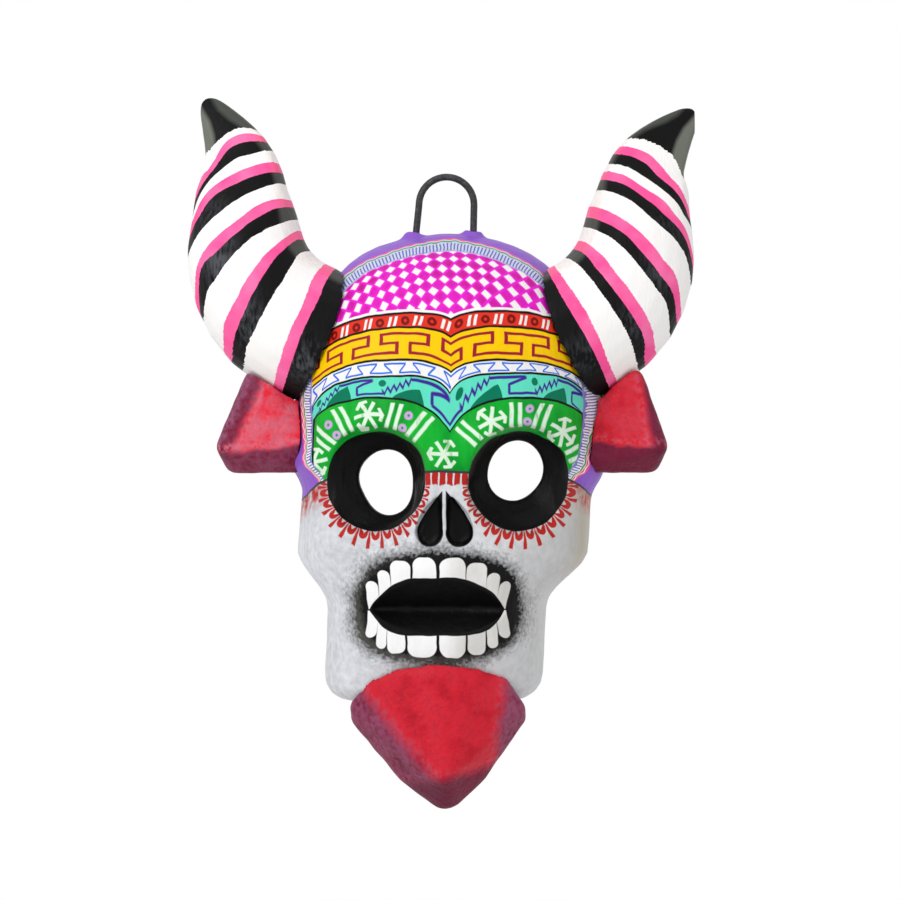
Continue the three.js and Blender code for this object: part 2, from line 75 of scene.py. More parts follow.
class SkullPaint(bpy.types.PropertyGroup):
    """Colours of the skull's painted bands."""

    face: colour("Face ground", 226, 229, 234)
    smudge: colour("Face smudges", 202, 203, 208)
    raw: colour("Unpainted clay", 188, 181, 165)
    violet: colour("Side walls", 146, 94, 206)
    slate: colour("Ticks of the edge band", 92, 98, 196)
    magenta: colour("Top field", 240, 34, 214)
    rose: colour("Outer line of the edge band", 250, 84, 150)
    plum: colour("Spots of the top field", 196, 26, 140)
    white: colour("White paint", 245, 244, 242)
    red: colour("Stroke band", 226, 52, 36)
    deep_red: colour("Rings of the stroke band", 118, 18, 14)
    yellow: colour("Key band", 255, 205, 0)
    wine: colour("Key line", 158, 28, 48)
    blue: colour("Blue line", 34, 112, 232)
    turquoise: colour("Turquoise band", 98, 226, 196)
    indigo: colour("Line of the turquoise band", 66, 38, 150)
    teal: colour("Hills", 0, 120, 88)
    green: colour("Brow field", 0, 148, 42)
    fresh_green: colour("Thin paint of the brow field", 22, 182, 52)
    mint: colour("Strokes of the brow field", 224, 246, 224)
    lilac: colour("Discs of the brow field", 208, 168, 226)
    lash: colour("Lashes", 184, 40, 36)
    black: colour("Black paint", 9, 9, 10)
    tooth: colour("Teeth", 250, 250, 250)
    soot: colour("Soot round the teeth", 74, 73, 70)
    sky: colour("Edge band over the crown", 170, 184, 226)
    # painted shade: the face's colour on its right side, away from the light
    shaded: colour("Face on its shaded side", 192, 190, 186)
    face_line: colour("Line over the face", 60, 60, 62)
    # painted shade: the teeth's colour on their right side, away from the light
    shaded_tooth: colour("Teeth on the shaded side", 214, 212, 208)


class HornPaint(bpy.types.PropertyGroup):
    """Colours of the horns' stripes."""

    white: colour("White stripes", 253, 251, 249)
    # the inner and outer face colours are painted light and shade, and the glint is a painted sheen
    inner_shaded_white: colour("White on the inner face", 238, 229, 222)
    pink: colour("Pink stripes", 255, 88, 158)
    black: colour("Black stripes", 15, 15, 16)
    inner_lit_black: colour("Black on the inner face", 82, 84, 79)
    outer_lit_black: colour("Black on the outer face", 112, 115, 106)
    glint: colour("Sheen on the black stripes", 88, 90, 96)
    light_pink: colour("Thin pink paint", 255, 118, 176)
    inner_lit_pink: colour("Pink on the inner face", 250, 112, 142)


class RedPaint(bpy.types.PropertyGroup):
    """Colours of the ears and the beard."""

    red: colour("Bright red", 236, 38, 58)
    # deep red also stands for the painted shade of the darker pieces
    deep: colour("Deep red", 172, 12, 32)
    blush: colour("Brushed pink", 226, 108, 128)
    maroon: colour("Maroon", 100, 16, 50)
    plum: colour("Plum wash", 152, 86, 118)


class WirePaint(bpy.types.PropertyGroup):
    """Colours of the iron wire."""

    iron: colour("Black iron", 22, 22, 24)
    scale: colour("Scale on the iron", 70, 68, 70)


class ClaySizes(bpy.types.PropertyGroup):
    """Sizes of the hand-modelled surface."""

    skull_voxel: length("Skull voxel", "Voxel size of the skull's remesh", 0.00095)
    horn_voxel: length("Horn voxel", "Voxel size of the horns' remesh", 0.0008)
    lump_voxel: length("Lump voxel", "Voxel size of the ears and the beard", 0.0007)
    wire_voxel: length("Wire voxel", "Voxel size of the wire", 0.0003)
    dent: length("Dent depth", "Depth of the hand's soft dents", 0.0007)
    dent_width: length("Dent width", "Width of the hand's soft dents", 0.016)


class StageSizes(bpy.types.PropertyGroup):
    """Camera, floor and lamps."""

    distance: length("Camera distance", "From the camera to the mask's middle", 1.3)
    field: length("Field width", "Width that the picture shows at the mask's middle", 0.3168)
    turn: bpy.props.FloatProperty(
        name="Camera turn", description="How far the camera stands to the right",
        subtype="ANGLE", default=math.radians(1.5))
    floor_drop: length("Floor drop", "Floor below the frame's origin", 0.28)
    floor_radius: length("Floor radius", "Radius of the floor", 1.6)
    floor_fade: length("Floor fade", "Radius at which the floor turns white", 0.22)
    ambient: bpy.props.FloatProperty(
        name="Ambient", description="Share of the light that comes from all round", default=0.6)


# Shader maths


class Number:
    """A socket that holds a number, used in plain expressions."""

    def __init__(self, board, socket):
        self.board = board
        self.socket = socket

    def __add__(self, other):
        return self.board.math("ADD", self, other)

    def __radd__(self, other):
        return self.board.math("ADD", other, self)

    def __sub__(self, other):
        return self.board.math("SUBTRACT", self, other)

    def __rsub__(self, other):
        return self.board.math("SUBTRACT", other, self)

    def __mul__(self, other):
        return self.board.math("MULTIPLY", self, other)

    def __rmul__(self, other):
        return self.board.math("MULTIPLY", other, self)

    def __truediv__(self, other):
        return self.board.math("DIVIDE", self, other)

    def __rtruediv__(self, other):
        return self.board.math("DIVIDE", other, self)

    def __pow__(self, other):
        return self.board.math("POWER", self, other)

    def __rpow__(self, other):
        return self.board.math("POWER", other, self)

    def __neg__(self):
        return self.board.math("MULTIPLY", self, -1.0)

    def __abs__(self):
        return self.board.math("ABSOLUTE", self)


class Board:
    """The nodes of a material, or of a world."""

    def __init__(self, name, kind="materials"):
        self.owner = getattr(bpy.data, kind).new(name)
        self.owner.use_nodes = True
        self.tree = self.owner.node_tree
        self.tree.nodes.clear()

    def node(self, kind, settings=None, sockets=None):
        """A node with its settings, then the values or links of its sockets."""
        node = self.tree.nodes.new("ShaderNode" + kind)
        for key, value in (settings or {}).items():
            setattr(node, key, value)
        for key, value in (sockets or {}).items():
            if isinstance(value, Number):
                value = value.socket
            if isinstance(value, bpy.types.NodeSocket):
                self.tree.links.new(value, node.inputs[key])
            else:
                node.inputs[key].default_value = value
        return node

    def math(self, operation, *values):
        node = self.node("Math", {"operation": operation}, dict(enumerate(values)))
        return Number(self, node.outputs[0])

    def vector(self, operation, *values):
        node = self.node("VectorMath", {"operation": operation}, dict(enumerate(values)))
        return node.outputs[0]

    def ramp(self, value, low, high):
        """0 at low, 1 at high, straight between and held beyond."""
        node = self.node("MapRange", {"clamp": True},
                         {"Value": value, "From Min": low, "From Max": high})
        return Number(self, node.outputs["Result"])

    def below(self, value, edge, soft=EDGE):
        """1 where value is below edge."""
        return self.ramp(value, edge + soft / 2, edge - soft / 2)

    def above(self, value, edge, soft=EDGE):
        """1 where value is above edge."""
        return self.ramp(value, edge - soft / 2, edge + soft / 2)

    def least(self, *values):
        result = values[0]
        for value in values[1:]:
            result = self.math("MINIMUM", result, value)
        return result

    def most(self, *values):
        result = values[0]
        for value in values[1:]:
            result = self.math("MAXIMUM", result, value)
        return result

    def fraction(self, value):
        return self.math("FRACT", value)

    def floor(self, value):
        return self.math("FLOOR", value)

    def reach(self, u, v):
        """Distance of the point u, v from nought."""
        return self.math("SQRT", u * u + v * v)

    def mix(self, factor, first, second, blend="MIX"):
        """The first colour, covered by the second one where factor is 1."""
        node = self.node("Mix", {"data_type": "RGBA", "blend_type": blend},
                         {0: factor, 6: rgba(first), 7: rgba(second)})
        return node.outputs[2]

    def noise(self, vector, scale, detail=2.0, output="Fac"):
        node = self.node("TexNoise", {"noise_dimensions": "3D"},
                         {"Vector": vector, "Scale": scale, "Detail": detail})
        socket = node.outputs[output]
        return Number(self, socket) if output == "Fac" else socket

    def place(self, shake, scale=90.0):
        """Object coordinates in millimetres, shaken as by a hand-held brush."""
        spot = self.node("TexCoord").outputs["Object"]
        wander = self.noise(spot, scale, output="Color")
        wander = self.vector("SUBTRACT", wander, (0.5, 0.5, 0.5))
        node = self.node("VectorMath", {"operation": "MULTIPLY_ADD"},
                         {0: wander, 1: (shake, shake, shake), 2: self.scaled(spot, MM)})
        axes = self.node("SeparateXYZ", sockets={0: node.outputs[0]})
        return spot, [Number(self, axes.outputs[i]) for i in range(3)]

    def scaled(self, vector, factor):
        node = self.node("VectorMath", {"operation": "SCALE"}, {0: vector, "Scale": factor})
        return node.outputs[0]

    def attribute(self, name):
        node = self.node("Attribute", {"attribute_name": name})
        return Number(self, node.outputs["Fac"])

    def clay(self, shade, roughness, height, relief, gloss=0.1):
        """The finished shader: a colour, a roughness and a relief in metres."""
        bump = self.node("Bump", sockets={"Distance": relief, "Height": height})
        shader = self.node("BsdfPrincipled", sockets={
            "Base Color": shade, "Roughness": roughness, "Normal": bump.outputs[0],
            "Specular IOR Level": gloss})
        self.node("OutputMaterial", sockets={"Surface": shader.outputs[0]})
        return self.owner


def rgba(value):
    """A colour as a Mix node's socket takes it."""
    if isinstance(value, (bpy.types.NodeSocket, Number)):
        return value
    return (*value, 1.0)


# Painting the skull: places and sizes are in millimetres


BROW_X = 3.4  # where the bands' points hang
HEAD_RADIUS = 58.0  # the bands' patterns are spaced on this round
OUTLINE = 0.4  # half the width of a black line
EYES = ((-22.3, 96.0, 68.0), (26.4, 114.0, 66.5))  # middle, first star's turn, turn between stars
EYE_Z = -105.6
SOCKET = 17.0  # radius of a painted socket
STAR = 4.9  # length of a star's arms
LASHES = 28
LASH_TURN = 2 * math.pi / LASHES
SEPTUM_X = 1.4
NOSE_Z = -123.0
MOUTH_X = -1.0
MOUTH_Z = -149.2
FRET = 27.0  # step of the broken line
FRET_START = 9.9

# Upper edge of each band: height in the middle, lean, drop and width of its point, fall at the
# temples and its power, and for the lower ones how far they reach to the side
BAND_EDGES = {
    "stroke": (-47.2, 0.02, 3.4, 6.0, 6.2, 3.0),
    "key": (-52.5, 0.01, 3.9, 6.0, 6.4, 3.5),
    "dovetail": (-64.0, 0.0, 4.6, 5.0, 5.6, 5.0, 49.8),
    "fret": (-69.3, 0.025, 6.4, 4.0, 4.5, 7.0, 48.2),
    "brow": (-76.6, 0.0, 12.0, 7.5, 4.3, 6.0, 46.5),
}

# Each tooth's left edge, right edge, outer end and lean
TEETH = (
    (-25.8, -21.7, -139.6, 0.16), (-21.7, -17.3, -135.7, 0.1), (-16.9, -10.3, -132.7, 0.03),
    (-9.4, -1.4, -131.4, 0.0), (-0.3, 8.8, -131.5, 0.0), (9.3, 16.0, -133.2, -0.04),
    (16.1, 20.2, -136.8, -0.1), (20.3, 24.2, -139.8, -0.2),
    (-25.8, -21.8, -158.9, -0.12), (-21.7, -18.2, -162.5, -0.05), (-17.8, -12.0, -164.1, 0.0),
    (-11.2, -1.3, -165.6, 0.0), (-0.3, 8.8, -165.8, 0.0), (9.6, 15.4, -164.7, 0.02),
    (16.1, 19.8, -162.5, 0.08), (20.0, 23.9, -158.9, 0.14),
)


class Ground:
    """Where a point of the skull lies, and the marks that the brush leaves there."""

    def __init__(self, board):
        self.board = board
        self.spot, (self.x, self.y, self.z) = board.place(1.7)
        upright = board.vector("MULTIPLY", self.spot, (400.0, 400.0, 90.0))
        self.streaks = board.noise(upright, 1.0, 3.0)
        self.cloud = board.noise(self.spot, 55.0, 3.0)
        self.brush = board.noise(self.spot, 420.0, 6.0)

        sine = board.most(board.least(self.x * (1 / HEAD_RADIUS), 0.999), -0.999)
        self.along = board.math("ARCSINE", sine) * HEAD_RADIUS
        self.out = abs(self.x - BROW_X)
        self.edges = {band: self.arch(*shape) for band, shape in BAND_EDGES.items()}
        self.face_edge = self.z + 102.3 + 8.3 * (abs(self.x - 1.7) * (1 / 49.35)) ** 6.0

        self.right = board.above(self.x, BROW_X, 0.01)
        self.eye_x = self.x - self.by_eye(*(eye[0] for eye in EYES))
        self.eye_z = self.z - EYE_Z
        self.eye_far = board.reach(self.eye_x, self.eye_z)
        self.eye_turn = board.math("ARCTAN2", self.eye_z, self.eye_x)
        corner = board.math("COSINE", self.eye_turn - math.radians(32.0))
        self.rim = self.eye_far - SOCKET * (1 + 0.07 * board.most(corner, 0.0) ** 16)

    def arch(self, top, lean, point, spread, fall, power, limit=None):
        """Height above an arch with a point in the middle: negative below it."""
        hang = point * self.board.math("EXPONENT", self.out * (-1 / spread))
        drop = fall * (self.out * (1 / 43)) ** power
        height = self.z - (top + (self.x - BROW_X) * lean) + hang + drop
        if limit is None:
            return height
        return self.board.most(height, abs(self.x - 2.2) - limit)

    def by_eye(self, left, right):
        """The left eye's value on the left, and the right one's on the right."""
        return left + self.right * (right - left)

    def down(self, band, next_band):
        """0 at a band's upper edge, 1 at that of the next."""
        edge = self.edges[band]
        return -edge / (self.edges[next_band] - edge)

    def outlined(self, edge, shade, band, black):
        """The shade, covered by a band below its edge, with a black line on the edge."""
        shade = self.board.mix(self.board.below(edge, 0.0), shade, band)
        return self.board.mix(self.board.below(abs(edge), OUTLINE), shade, black)


def key_line(board, along, down, height):
    """A meander: down is from 0 to 1 across the band, height is the band's height."""
    cell = along * (1 / 10.9)
    part = board.fraction(cell)
    odd = board.fraction(board.floor(cell) * 0.5) * 2
    turned = (down + odd * (1 - 2 * down)) * height
    post = 0.56
    line = 0.5
    top = board.below(abs(turned - height * 0.2), line)
    runs = board.least(abs(turned - height * 0.5), abs(turned - height * 0.8))
    runs = board.below(runs, line) * board.below(part, post + 0.05, 0.02)
    first = board.below(part, 0.06, 0.02) * board.below(abs(turned - height * 0.35), 2.3)
    posts = board.least(abs(part - post), 1 - part)
    posts = board.below(posts, 0.06, 0.02) * board.below(abs(turned - height * 0.65), 2.3)
    return board.most(top, runs, first, posts)


def dovetail_line(board, along, down, height):
    """A thin line of slanting dovetails."""
    cell = along * (1 / 5.15)
    part = board.fraction(cell)
    odd = board.fraction(board.floor(cell) * 0.5) * 2
    turned = down + odd * (1 - 2 * down)
    line = 0.32
    margin = 0.22
    half = board.below(part, 0.52, 0.04)
    top = board.below(abs(turned - margin) * height, line)
    bottom = board.below(abs(turned - (1 - margin)) * height, line) * half
    slant = board.below(abs(turned - margin - part * 1.12) * height * 0.7, line) * half
    return board.most(top, bottom, slant)


def fret_line(board, along, down, height):
    """The broken line of the turquoise band, with the teeth that climb to its next run."""
    part = board.fraction(along * (1 / FRET))
    line = 0.42
    top = board.below(abs(down - 0.16) * height, 0.5) * board.below(part, 0.49, 0.02)
    back = abs(down - 0.2 - (0.49 - part) * 1.1) * height * 0.8
    back = board.below(back, line) * board.below(abs(part - 0.375), 0.125, 0.02)
    post = board.below(abs(part - 0.26), 0.018, 0.01) * board.below(abs(down - 0.62), 0.2, 0.04)
    bottom = board.below(abs(down - 0.82) * height, line)
    bottom = bottom * board.below(abs(part - 0.45), 0.2, 0.02)
    saw = abs(board.fraction(part * 13) - 0.5)
    climb = 0.86 - (part - 0.63) * 1.4
    teeth = board.below(abs(down - climb + saw * 0.5) * height * 0.6, line)
    teeth = teeth * board.above(part, 0.62, 0.02)
    dot = board.reach((part - 0.62) * FRET, (down - 0.34) * height)
    return board.most(top, back, post, bottom, teeth), board.below(dot, 1.3)


def star(board, u, v):
    """Six arms, three of them with a short bar across the end."""
    around = board.math("ARCTAN2", v, u) * (3 / math.pi)
    size = board.reach(u, v)
    turn = (board.fraction(around + 0.5) - 0.5) * (math.pi / 3)
    across = size * abs(board.math("SINE", turn))
    out = size * board.math("COSINE", turn)
    soft = 0.3
    arms = board.below(across, 0.62, soft) * board.below(out, STAR)
    odd = board.fraction(board.floor(around + 0.5) * 0.5)
    bars = board.below(abs(out - STAR + across * 0.45), 0.6, soft)
    bars = bars * board.below(across, 2.3, soft)
    return board.most(arms, bars * board.above(odd, 0.25))


def tooth(board, x, z, left, right, end, lean):
    """How far outside a tooth a point is: round at its outer end, open towards the mouth."""
    up = 1.0 if end > MOUTH_Z else -1.0
    half = (right - left) / 2
    corner = half * (1.0 if half < 2.3 else 0.75)
    high = (z - end) * up
    u = board.most(abs(x - (left + right) / 2 + high * (lean * up)) - (half - corner), 0.0)
    v = board.most(high + corner, 0.0)
    return board.most(board.reach(u, v) - corner, (MOUTH_Z - z) * up)


def crown_field(ground, paint):
    """White diamonds in bows over the nose, with plum spots between them."""
    board, x, z = ground.board, ground.x, ground.z
    radius = 74
    bow = board.math("ARCSINE", board.least(board.reach(x - 3.0, z + 91.0) * (1 / radius), 0.999))
    bow = abs(board.fraction(bow * (radius / 5.9) + 0.05) - 0.5)
    turn = abs(board.fraction((x + z * 0.21 + 4.45) * (1 / 4.5)) - 0.5)
    thin = board.ramp(ground.cloud + ground.streaks * 0.6, 0.6, 0.95)
    shade = board.mix(board.above(bow + turn, 0.62, 0.14) * thin, paint.magenta, paint.plum)
    return board.mix(board.below(bow + turn, 0.385, 0.08), shade, paint.white)


def stroke_band(ground, paint, shade):
    """Pairs of slanting strokes with rings between them, under a white line."""
    board, edge = ground.board, ground.edges["stroke"]
    pace = 9.2
    line = 0.5
    low = edge + 2.7
    step = (board.fraction((ground.along - 1.6) * (1 / pace) + 0.5) - 0.5) * pace
    strokes = board.below(abs(abs(step - low * 0.25) - 1.0), line) * board.below(abs(low), 1.75)
    ring = board.below(abs(board.reach(pace / 2 - abs(step), low) - 1.05), line)
    band = board.mix(strokes, board.mix(ring, paint.red, paint.deep_red), paint.white)
    shade = board.mix(board.below(abs(edge - 0.8), line), shade, paint.white)
    return ground.outlined(edge, shade, band, paint.black)


def key_band(ground, paint, shade):
    """A wine-red meander on yellow."""
    line = key_line(ground.board, ground.along - 0.8, ground.down("key", "dovetail"), 11.6)
    band = ground.board.mix(line, paint.yellow, paint.wine)
    return ground.outlined(ground.edges["key"], shade, band, paint.black)


def dovetail_band(ground, paint, shade):
    """Blue dovetails on white."""
    line = dovetail_line(ground.board, ground.along - 1.0, ground.down("dovetail", "fret"), 5.4)
    band = ground.board.mix(line, paint.white, paint.blue)
    return ground.outlined(ground.edges["dovetail"], shade, band, paint.black)


def fret_band(ground, paint, shade):
    """An indigo line, dots and dark hills on turquoise."""
    board = ground.board
    along = ground.along + FRET_START
    line, dot = fret_line(board, along, ground.down("fret", "brow"), 8.0)
    hill = board.fraction(along * (1 / FRET) + 0.25)
    hill = board.least(hill * (1 / 0.36), (0.42 - hill) * (1 / 0.06))
    hill = board.below(ground.edges["brow"] - board.most(hill, 0.0) ** 0.6 * 5.0, 0.0)
    band = board.mix(board.most(hill, dot), paint.turquoise, paint.teal)
    band = board.mix(line, band, paint.indigo)
    return ground.outlined(ground.edges["fret"], shade, band, paint.black)


def brow_band(ground, paint, shade):
    """Stars, bars and rings round each eye on green, and one star over the nose."""
    board, right, streaks = ground.board, ground.right, ground.streaks
    edge, eye_far = ground.edges["brow"], ground.eye_far
    soft = 0.4
    first = ground.by_eye(*(math.radians(eye[1]) for eye in EYES))
    pace = ground.by_eye(*(math.radians(eye[2]) for eye in EYES))
    step = (ground.eye_turn - first) / pace
    inwards = step * (right * 2 - 1)
    step = board.fraction(step + 0.5) - 0.5
    side = pace * eye_far
    far = abs(step)

    bars = abs(abs((far - 0.33) * side) - 1.5) + (streaks - 0.5) * 0.5
    bars = board.below(bars, 0.72, soft) * board.below(inwards, 0.9 - right * 0.36, 0.01)
    bars = bars * board.below(edge, -1.5) * board.above(eye_far, SOCKET + 1.7, soft)
    ring = board.least(abs(eye_far - 20.6), abs(eye_far - 25.2))
    ring = board.reach((0.5 - far) * side, ring) + right * board.above(inwards, 0.4) * 9.0
    stars = star(board, step * side, eye_far - 22.6) * board.below(inwards, 0.5, 0.01)
    stars = board.most(stars, star(board, ground.x - 1.0, ground.z + 96.4))

    thin = board.ramp(ground.cloud + streaks * 0.4, 0.52, 0.85)
    band = board.mix(thin, paint.green, paint.fresh_green)
    strokes = board.most(bars, stars) * board.ramp(streaks, 0.15, 0.4)
    band = board.mix(strokes, band, paint.mint)
    band = board.mix(board.below(ring, 1.45, soft), band, paint.lilac)
    band = board.mix(board.below(ring, 0.45, soft), band, paint.green)
    return ground.outlined(edge, shade, band, paint.black)


def edge_band(ground, paint, shade):
    """Ticks and wavy lines along the rim of the front, and violet side walls behind them."""
    board, x, y, z = ground.board, ground.x, ground.y, ground.z
    low = board.ramp(z, -45.0, -78.0)
    drop = board.most(-79.0 - z, 0.0)
    lean = x * 0.02
    inner = (1 - board.ramp(ground.out, 0.0, 22.0)) * 3.4 - 33.4
    inner = inner - low * (3.0 - lean * 1.9) - drop * 0.22
    width = 11.5 - board.ramp(ground.out, 0.0, 25.0) * 3.3 + low * (7 + lean * 3.9)
    width = board.most(width - drop * (0.4 + lean * 0.1), 2.0)
    inner = inner - y
    outer = inner + width
    share = outer / width

    thin = 0.03
    path = board.math("ARCTAN2", x - 1.0, z + 85.0) * 50
    wave = board.math("SINE", path * (2 * math.pi / 3.6)) * 0.035
    ragged = share + (ground.streaks - 0.5) * 0.12
    ticks = board.below(abs(board.fraction(path) - 0.5), 0.2, 0.16)
    ticks = ticks * board.above(ragged, 0.4 + low * 0.17, 0.06) * board.below(ragged, 0.93, 0.06)
    green = abs(share - 0.27 - low * 0.2 - wave)
    scallop = abs(share - 0.1 - low * 0.12 - wave * 2)
    scallop = board.mix(board.below(scallop, 0.05 * low, thin), paint.rose, paint.white)

    band = board.mix(0.5 - low * 0.5, paint.white, paint.sky)
    band = board.mix(ticks, band, paint.slate)
    band = board.mix(board.above(share + wave, 0.9, 0.04) * (0.35 + low * 0.5), band, paint.slate)
    band = board.mix(board.below(green, 0.045, thin), band, paint.green)
    band = board.mix(board.below(share - low * 0.25 - wave, 0.12, thin), band, scallop)
    wall = board.mix(board.below(outer, 0.0), band, paint.violet)
    return board.mix(board.above(inner, 0.0), wall, shade)


def lash_strokes(ground):
    """Spikes with petals between them round the sockets, and a fringe over the nose."""
    board, rim = ground.board, ground.rim
    shake = (ground.brush - 0.5) * 1.3
    hang = board.most(ground.eye_z * (-1 / SOCKET), 0.0)
    noseward = board.ramp(ground.eye_x * (1 - ground.right * 2), 9.0, 14.0)
    off = board.fraction(ground.eye_turn * (1 / LASH_TURN)) - 0.5
    off = abs(off * ground.eye_far * LASH_TURN)
    spike = off - 0.18 - board.least(rim, 4.0) * 0.12 + shake * 0.3
    spike = board.most(spike, rim - 3.3 - hang * 2.1 + noseward * 1.8 + shake)
    far = ground.eye_far * (LASH_TURN / 2) - off
    petal = board.most(far - 1.45 + board.most(rim - 1.5, 0.0) * 0.3,
                       rim - 3.1 + far * far * 0.5 + noseward)
    petal = board.below(petal + shake * 0.5, 0.0)
    petal = petal * board.above(far * 1.1 + rim * 0.8 - shake * 0.4, 0.95)

    middle = abs(ground.x - 2.4)
    nose = board.below(middle, 8.0) * board.above(ground.z, -107.0)
    strokes = board.most(board.below(spike, 0.0), petal) * (1 - nose)
    fringe = board.fraction((ground.x + 0.5) * (1 / 2.55)) - 0.5
    fringe = board.below(abs(fringe) + (ground.brush - 0.5) * 0.3, 0.4, 0.06)
    fringe = fringe * board.above(ground.face_edge + (ground.streaks - 0.5) * 2.5, -4.6, 0.5)
    return board.most(strokes, fringe * board.below(middle, 7.6))


def white_face(ground, paint, shade):
    """Smudged white with the lashes, greyed to the right by painted shade, beige at the right edge
    and smeared under the temples.
    """
    board, edge = ground.board, ground.face_edge
    smudges = board.ramp(ground.brush * 0.6 + ground.cloud * 0.5, 0.44, 0.68)
    face = board.mix(smudges, paint.face, paint.smudge)
    # painted shade: the white greys towards the right, away from the light
    face = board.mix(board.ramp(ground.x, -5.0, 50.0) * 0.7, face, paint.shaded)
    worn = board.ramp(ground.x, 38.0, 48.0)
    worn = worn * board.ramp(ground.y + ground.cloud * 14.0, -36.0, -22.0)
    face = board.mix(worn * 0.9, face, paint.raw)
    smear = board.above(edge, -6.5, 5.0) * board.above(ground.out, 43.0, 3.0)
    smear = smear * board.ramp(ground.brush + ground.streaks, 0.75, 1.15)
    face = board.mix(smear, face, paint.lash)
    face = board.mix(lash_strokes(ground), face, paint.lash)
    shade = board.mix(board.below(edge, 0.0), shade, face)
    return board.mix(board.below(abs(edge), 0.45), shade, paint.face_line)


def nose_holes(ground, paint, shade):
    """A black drop on each side of the septum."""
    board = ground.board
    high = ground.z - NOSE_Z
    height = 14.0
    foot = 4.5
    rise = high * (1 / height)
    for side in (-1.0, 1.0):
        out = (ground.x - SEPTUM_X) * side
        flank = out - 0.7 - 8.7 * (1 - board.most(rise, 0.0) ** 1.6)
        drop = board.most(flank, 0.7 - out, -high, rise * height - height)
        bulge = board.reach((out - 5.0) * (1 / foot), high * (1 / 4.8)) * foot - foot
        shade = board.mix(board.below(board.least(drop, bulge), 0.1), shade, paint.black)
    return shade


def mouth(ground, paint, shade):
    """Smoky ground, then teeth that end at the lens of the open mouth."""
    board, cloud = ground.board, ground.cloud
    across = abs(ground.x - MOUTH_X)
    up = ground.z - MOUTH_Z
    high = abs(up - 0.4)
    inner = (across * (1 / 26.3)) ** 2.6 + (high * (1 / 17.0)) ** 2.6
    outer = (across * (1 / 32.5)) ** 2.4 + (high * (1 / 23.0)) ** 2.4
    grit = board.noise(ground.spot, 900.0, 6.0) - 0.5
    near = (1 - outer) / board.most(inner - outer, 0.02)
    thick = near + grit * 1.1 + (cloud - 0.5) * 0.9
    soot = board.ramp(thick + ground.x * 0.012 + up * 0.02, 0.45, 1.05)
    soot = board.mix(soot, paint.soot, paint.black)
    shade = board.mix(board.ramp(thick, -0.1, 0.7), shade, soot)

    half = board.least(across * (1 / 23.1), 1.0)
    lens = board.most(up - 10.6 * (1 - half ** 3.4), -up - 8.7 * (1 - half ** 4.8))
    gap = board.least(*(tooth(board, ground.x, ground.z, *shape) for shape in TEETH))
    gap = board.most(gap, 0.25 - lens)
    # painted shade: the teeth grey towards the right in patches, away from the light
    tooth_shade = board.ramp(ground.x, 0.0, 9.0) * board.ramp(cloud, 0.2, 0.6)
    teeth = board.mix(tooth_shade, paint.tooth, paint.shaded_tooth)
    return board.mix(board.below(gap, 0.0), shade, teeth)


def skull_material(paint):
    """Folk paint in bands, laid one over the other as the painter would."""
    board = Board("painted_clay_bands")
    ground = Ground(board)
    spot, streaks = ground.spot, ground.streaks
    shade = crown_field(ground, paint)
    for lay in (stroke_band, key_band, dovetail_band, fret_band, brow_band, edge_band,
                white_face, nose_holes, mouth):
        shade = lay(ground, paint, shade)

    # Eye sockets, then bare clay behind
    socket = board.below(ground.rim, 0.0) * board.below(ground.y, -12.0)
    shade = board.mix(socket, shade, paint.black)
    bare = board.above(board.attribute("bare"), 0.5, 0.2)
    shade = board.mix(bare, shade, paint.raw)

    # Thin and thick paint
    wash = board.ramp(streaks, 0.25, 0.75) * 0.08 + 0.94
    wash = board.node("CombineColor", sockets={0: wash, 1: wash, 2: wash}).outputs[0]
    shade = board.mix(1.0, shade, wash, "MULTIPLY")
    roughness = 0.34 + streaks * 0.2 + bare * 0.4
    ridges = board.noise(board.vector("MULTIPLY", spot, (520.0, 520.0, 120.0)), 1.0, 2.0)
    height = ridges + board.noise(spot, 900.0, 3.0) * 0.4
    return board.clay(shade, roughness, height, relief=0.00025)


# Painting the other pieces


def horn_material(paint):
    """White, pink and black stripes, three to a turn, with painted light and shade on the side
    faces.
    """
    board = Board("striped_clay_bands")
    spot = board.node("TexCoord").outputs["Object"]
    hair = board.noise(board.vector("MULTIPLY", spot, (900.0, 900.0, 260.0)), 1.0, 5.0)
    cloud = board.noise(spot, 90.0, 3.0)
    stripe = board.attribute("stripe") + (board.noise(spot, 260.0, 3.0) - 0.5) * 0.14
    inner = board.ramp(board.attribute("inner"), -0.6, 1.2)
    outer = board.ramp(board.attribute("outer"), -0.6, 1.0)
    sheen = board.ramp(hair + cloud * 0.7, 0.72, 1.02) * board.attribute("sheen")

    # painted reflection greys the black on the side faces, with a painted sheen over it
    black = board.mix(inner * 0.85, paint.black, paint.inner_lit_black)
    black = board.mix(outer, black, paint.outer_lit_black)
    black = board.mix(sheen * 0.8, black, paint.glint)
    pink = board.mix(board.ramp(cloud, 0.4, 0.65), paint.pink, paint.light_pink)
    # painted light on the pink, and painted shade on the white, of the inner face
    pink = board.mix(inner * 0.5, pink, paint.inner_lit_pink)
    white = board.mix(inner * board.ramp(hair, 0.2, 0.8), paint.white, paint.inner_shaded_white)

    soft = 0.03
    turn = board.fraction(stripe * (1 / 3)) * 3
    shade = board.mix(board.above(turn, 1.0, soft), white, pink)
    shade = board.mix(board.above(turn, 2.0, soft), shade, black)
    ends = board.most(board.below(stripe, 0.0, soft), board.above(stripe, LAST_STRIPE))
    shade = board.mix(ends, shade, black)
    return board.clay(shade, 0.3 + hair * 0.3, hair + cloud, relief=0.0002, gloss=0.08)


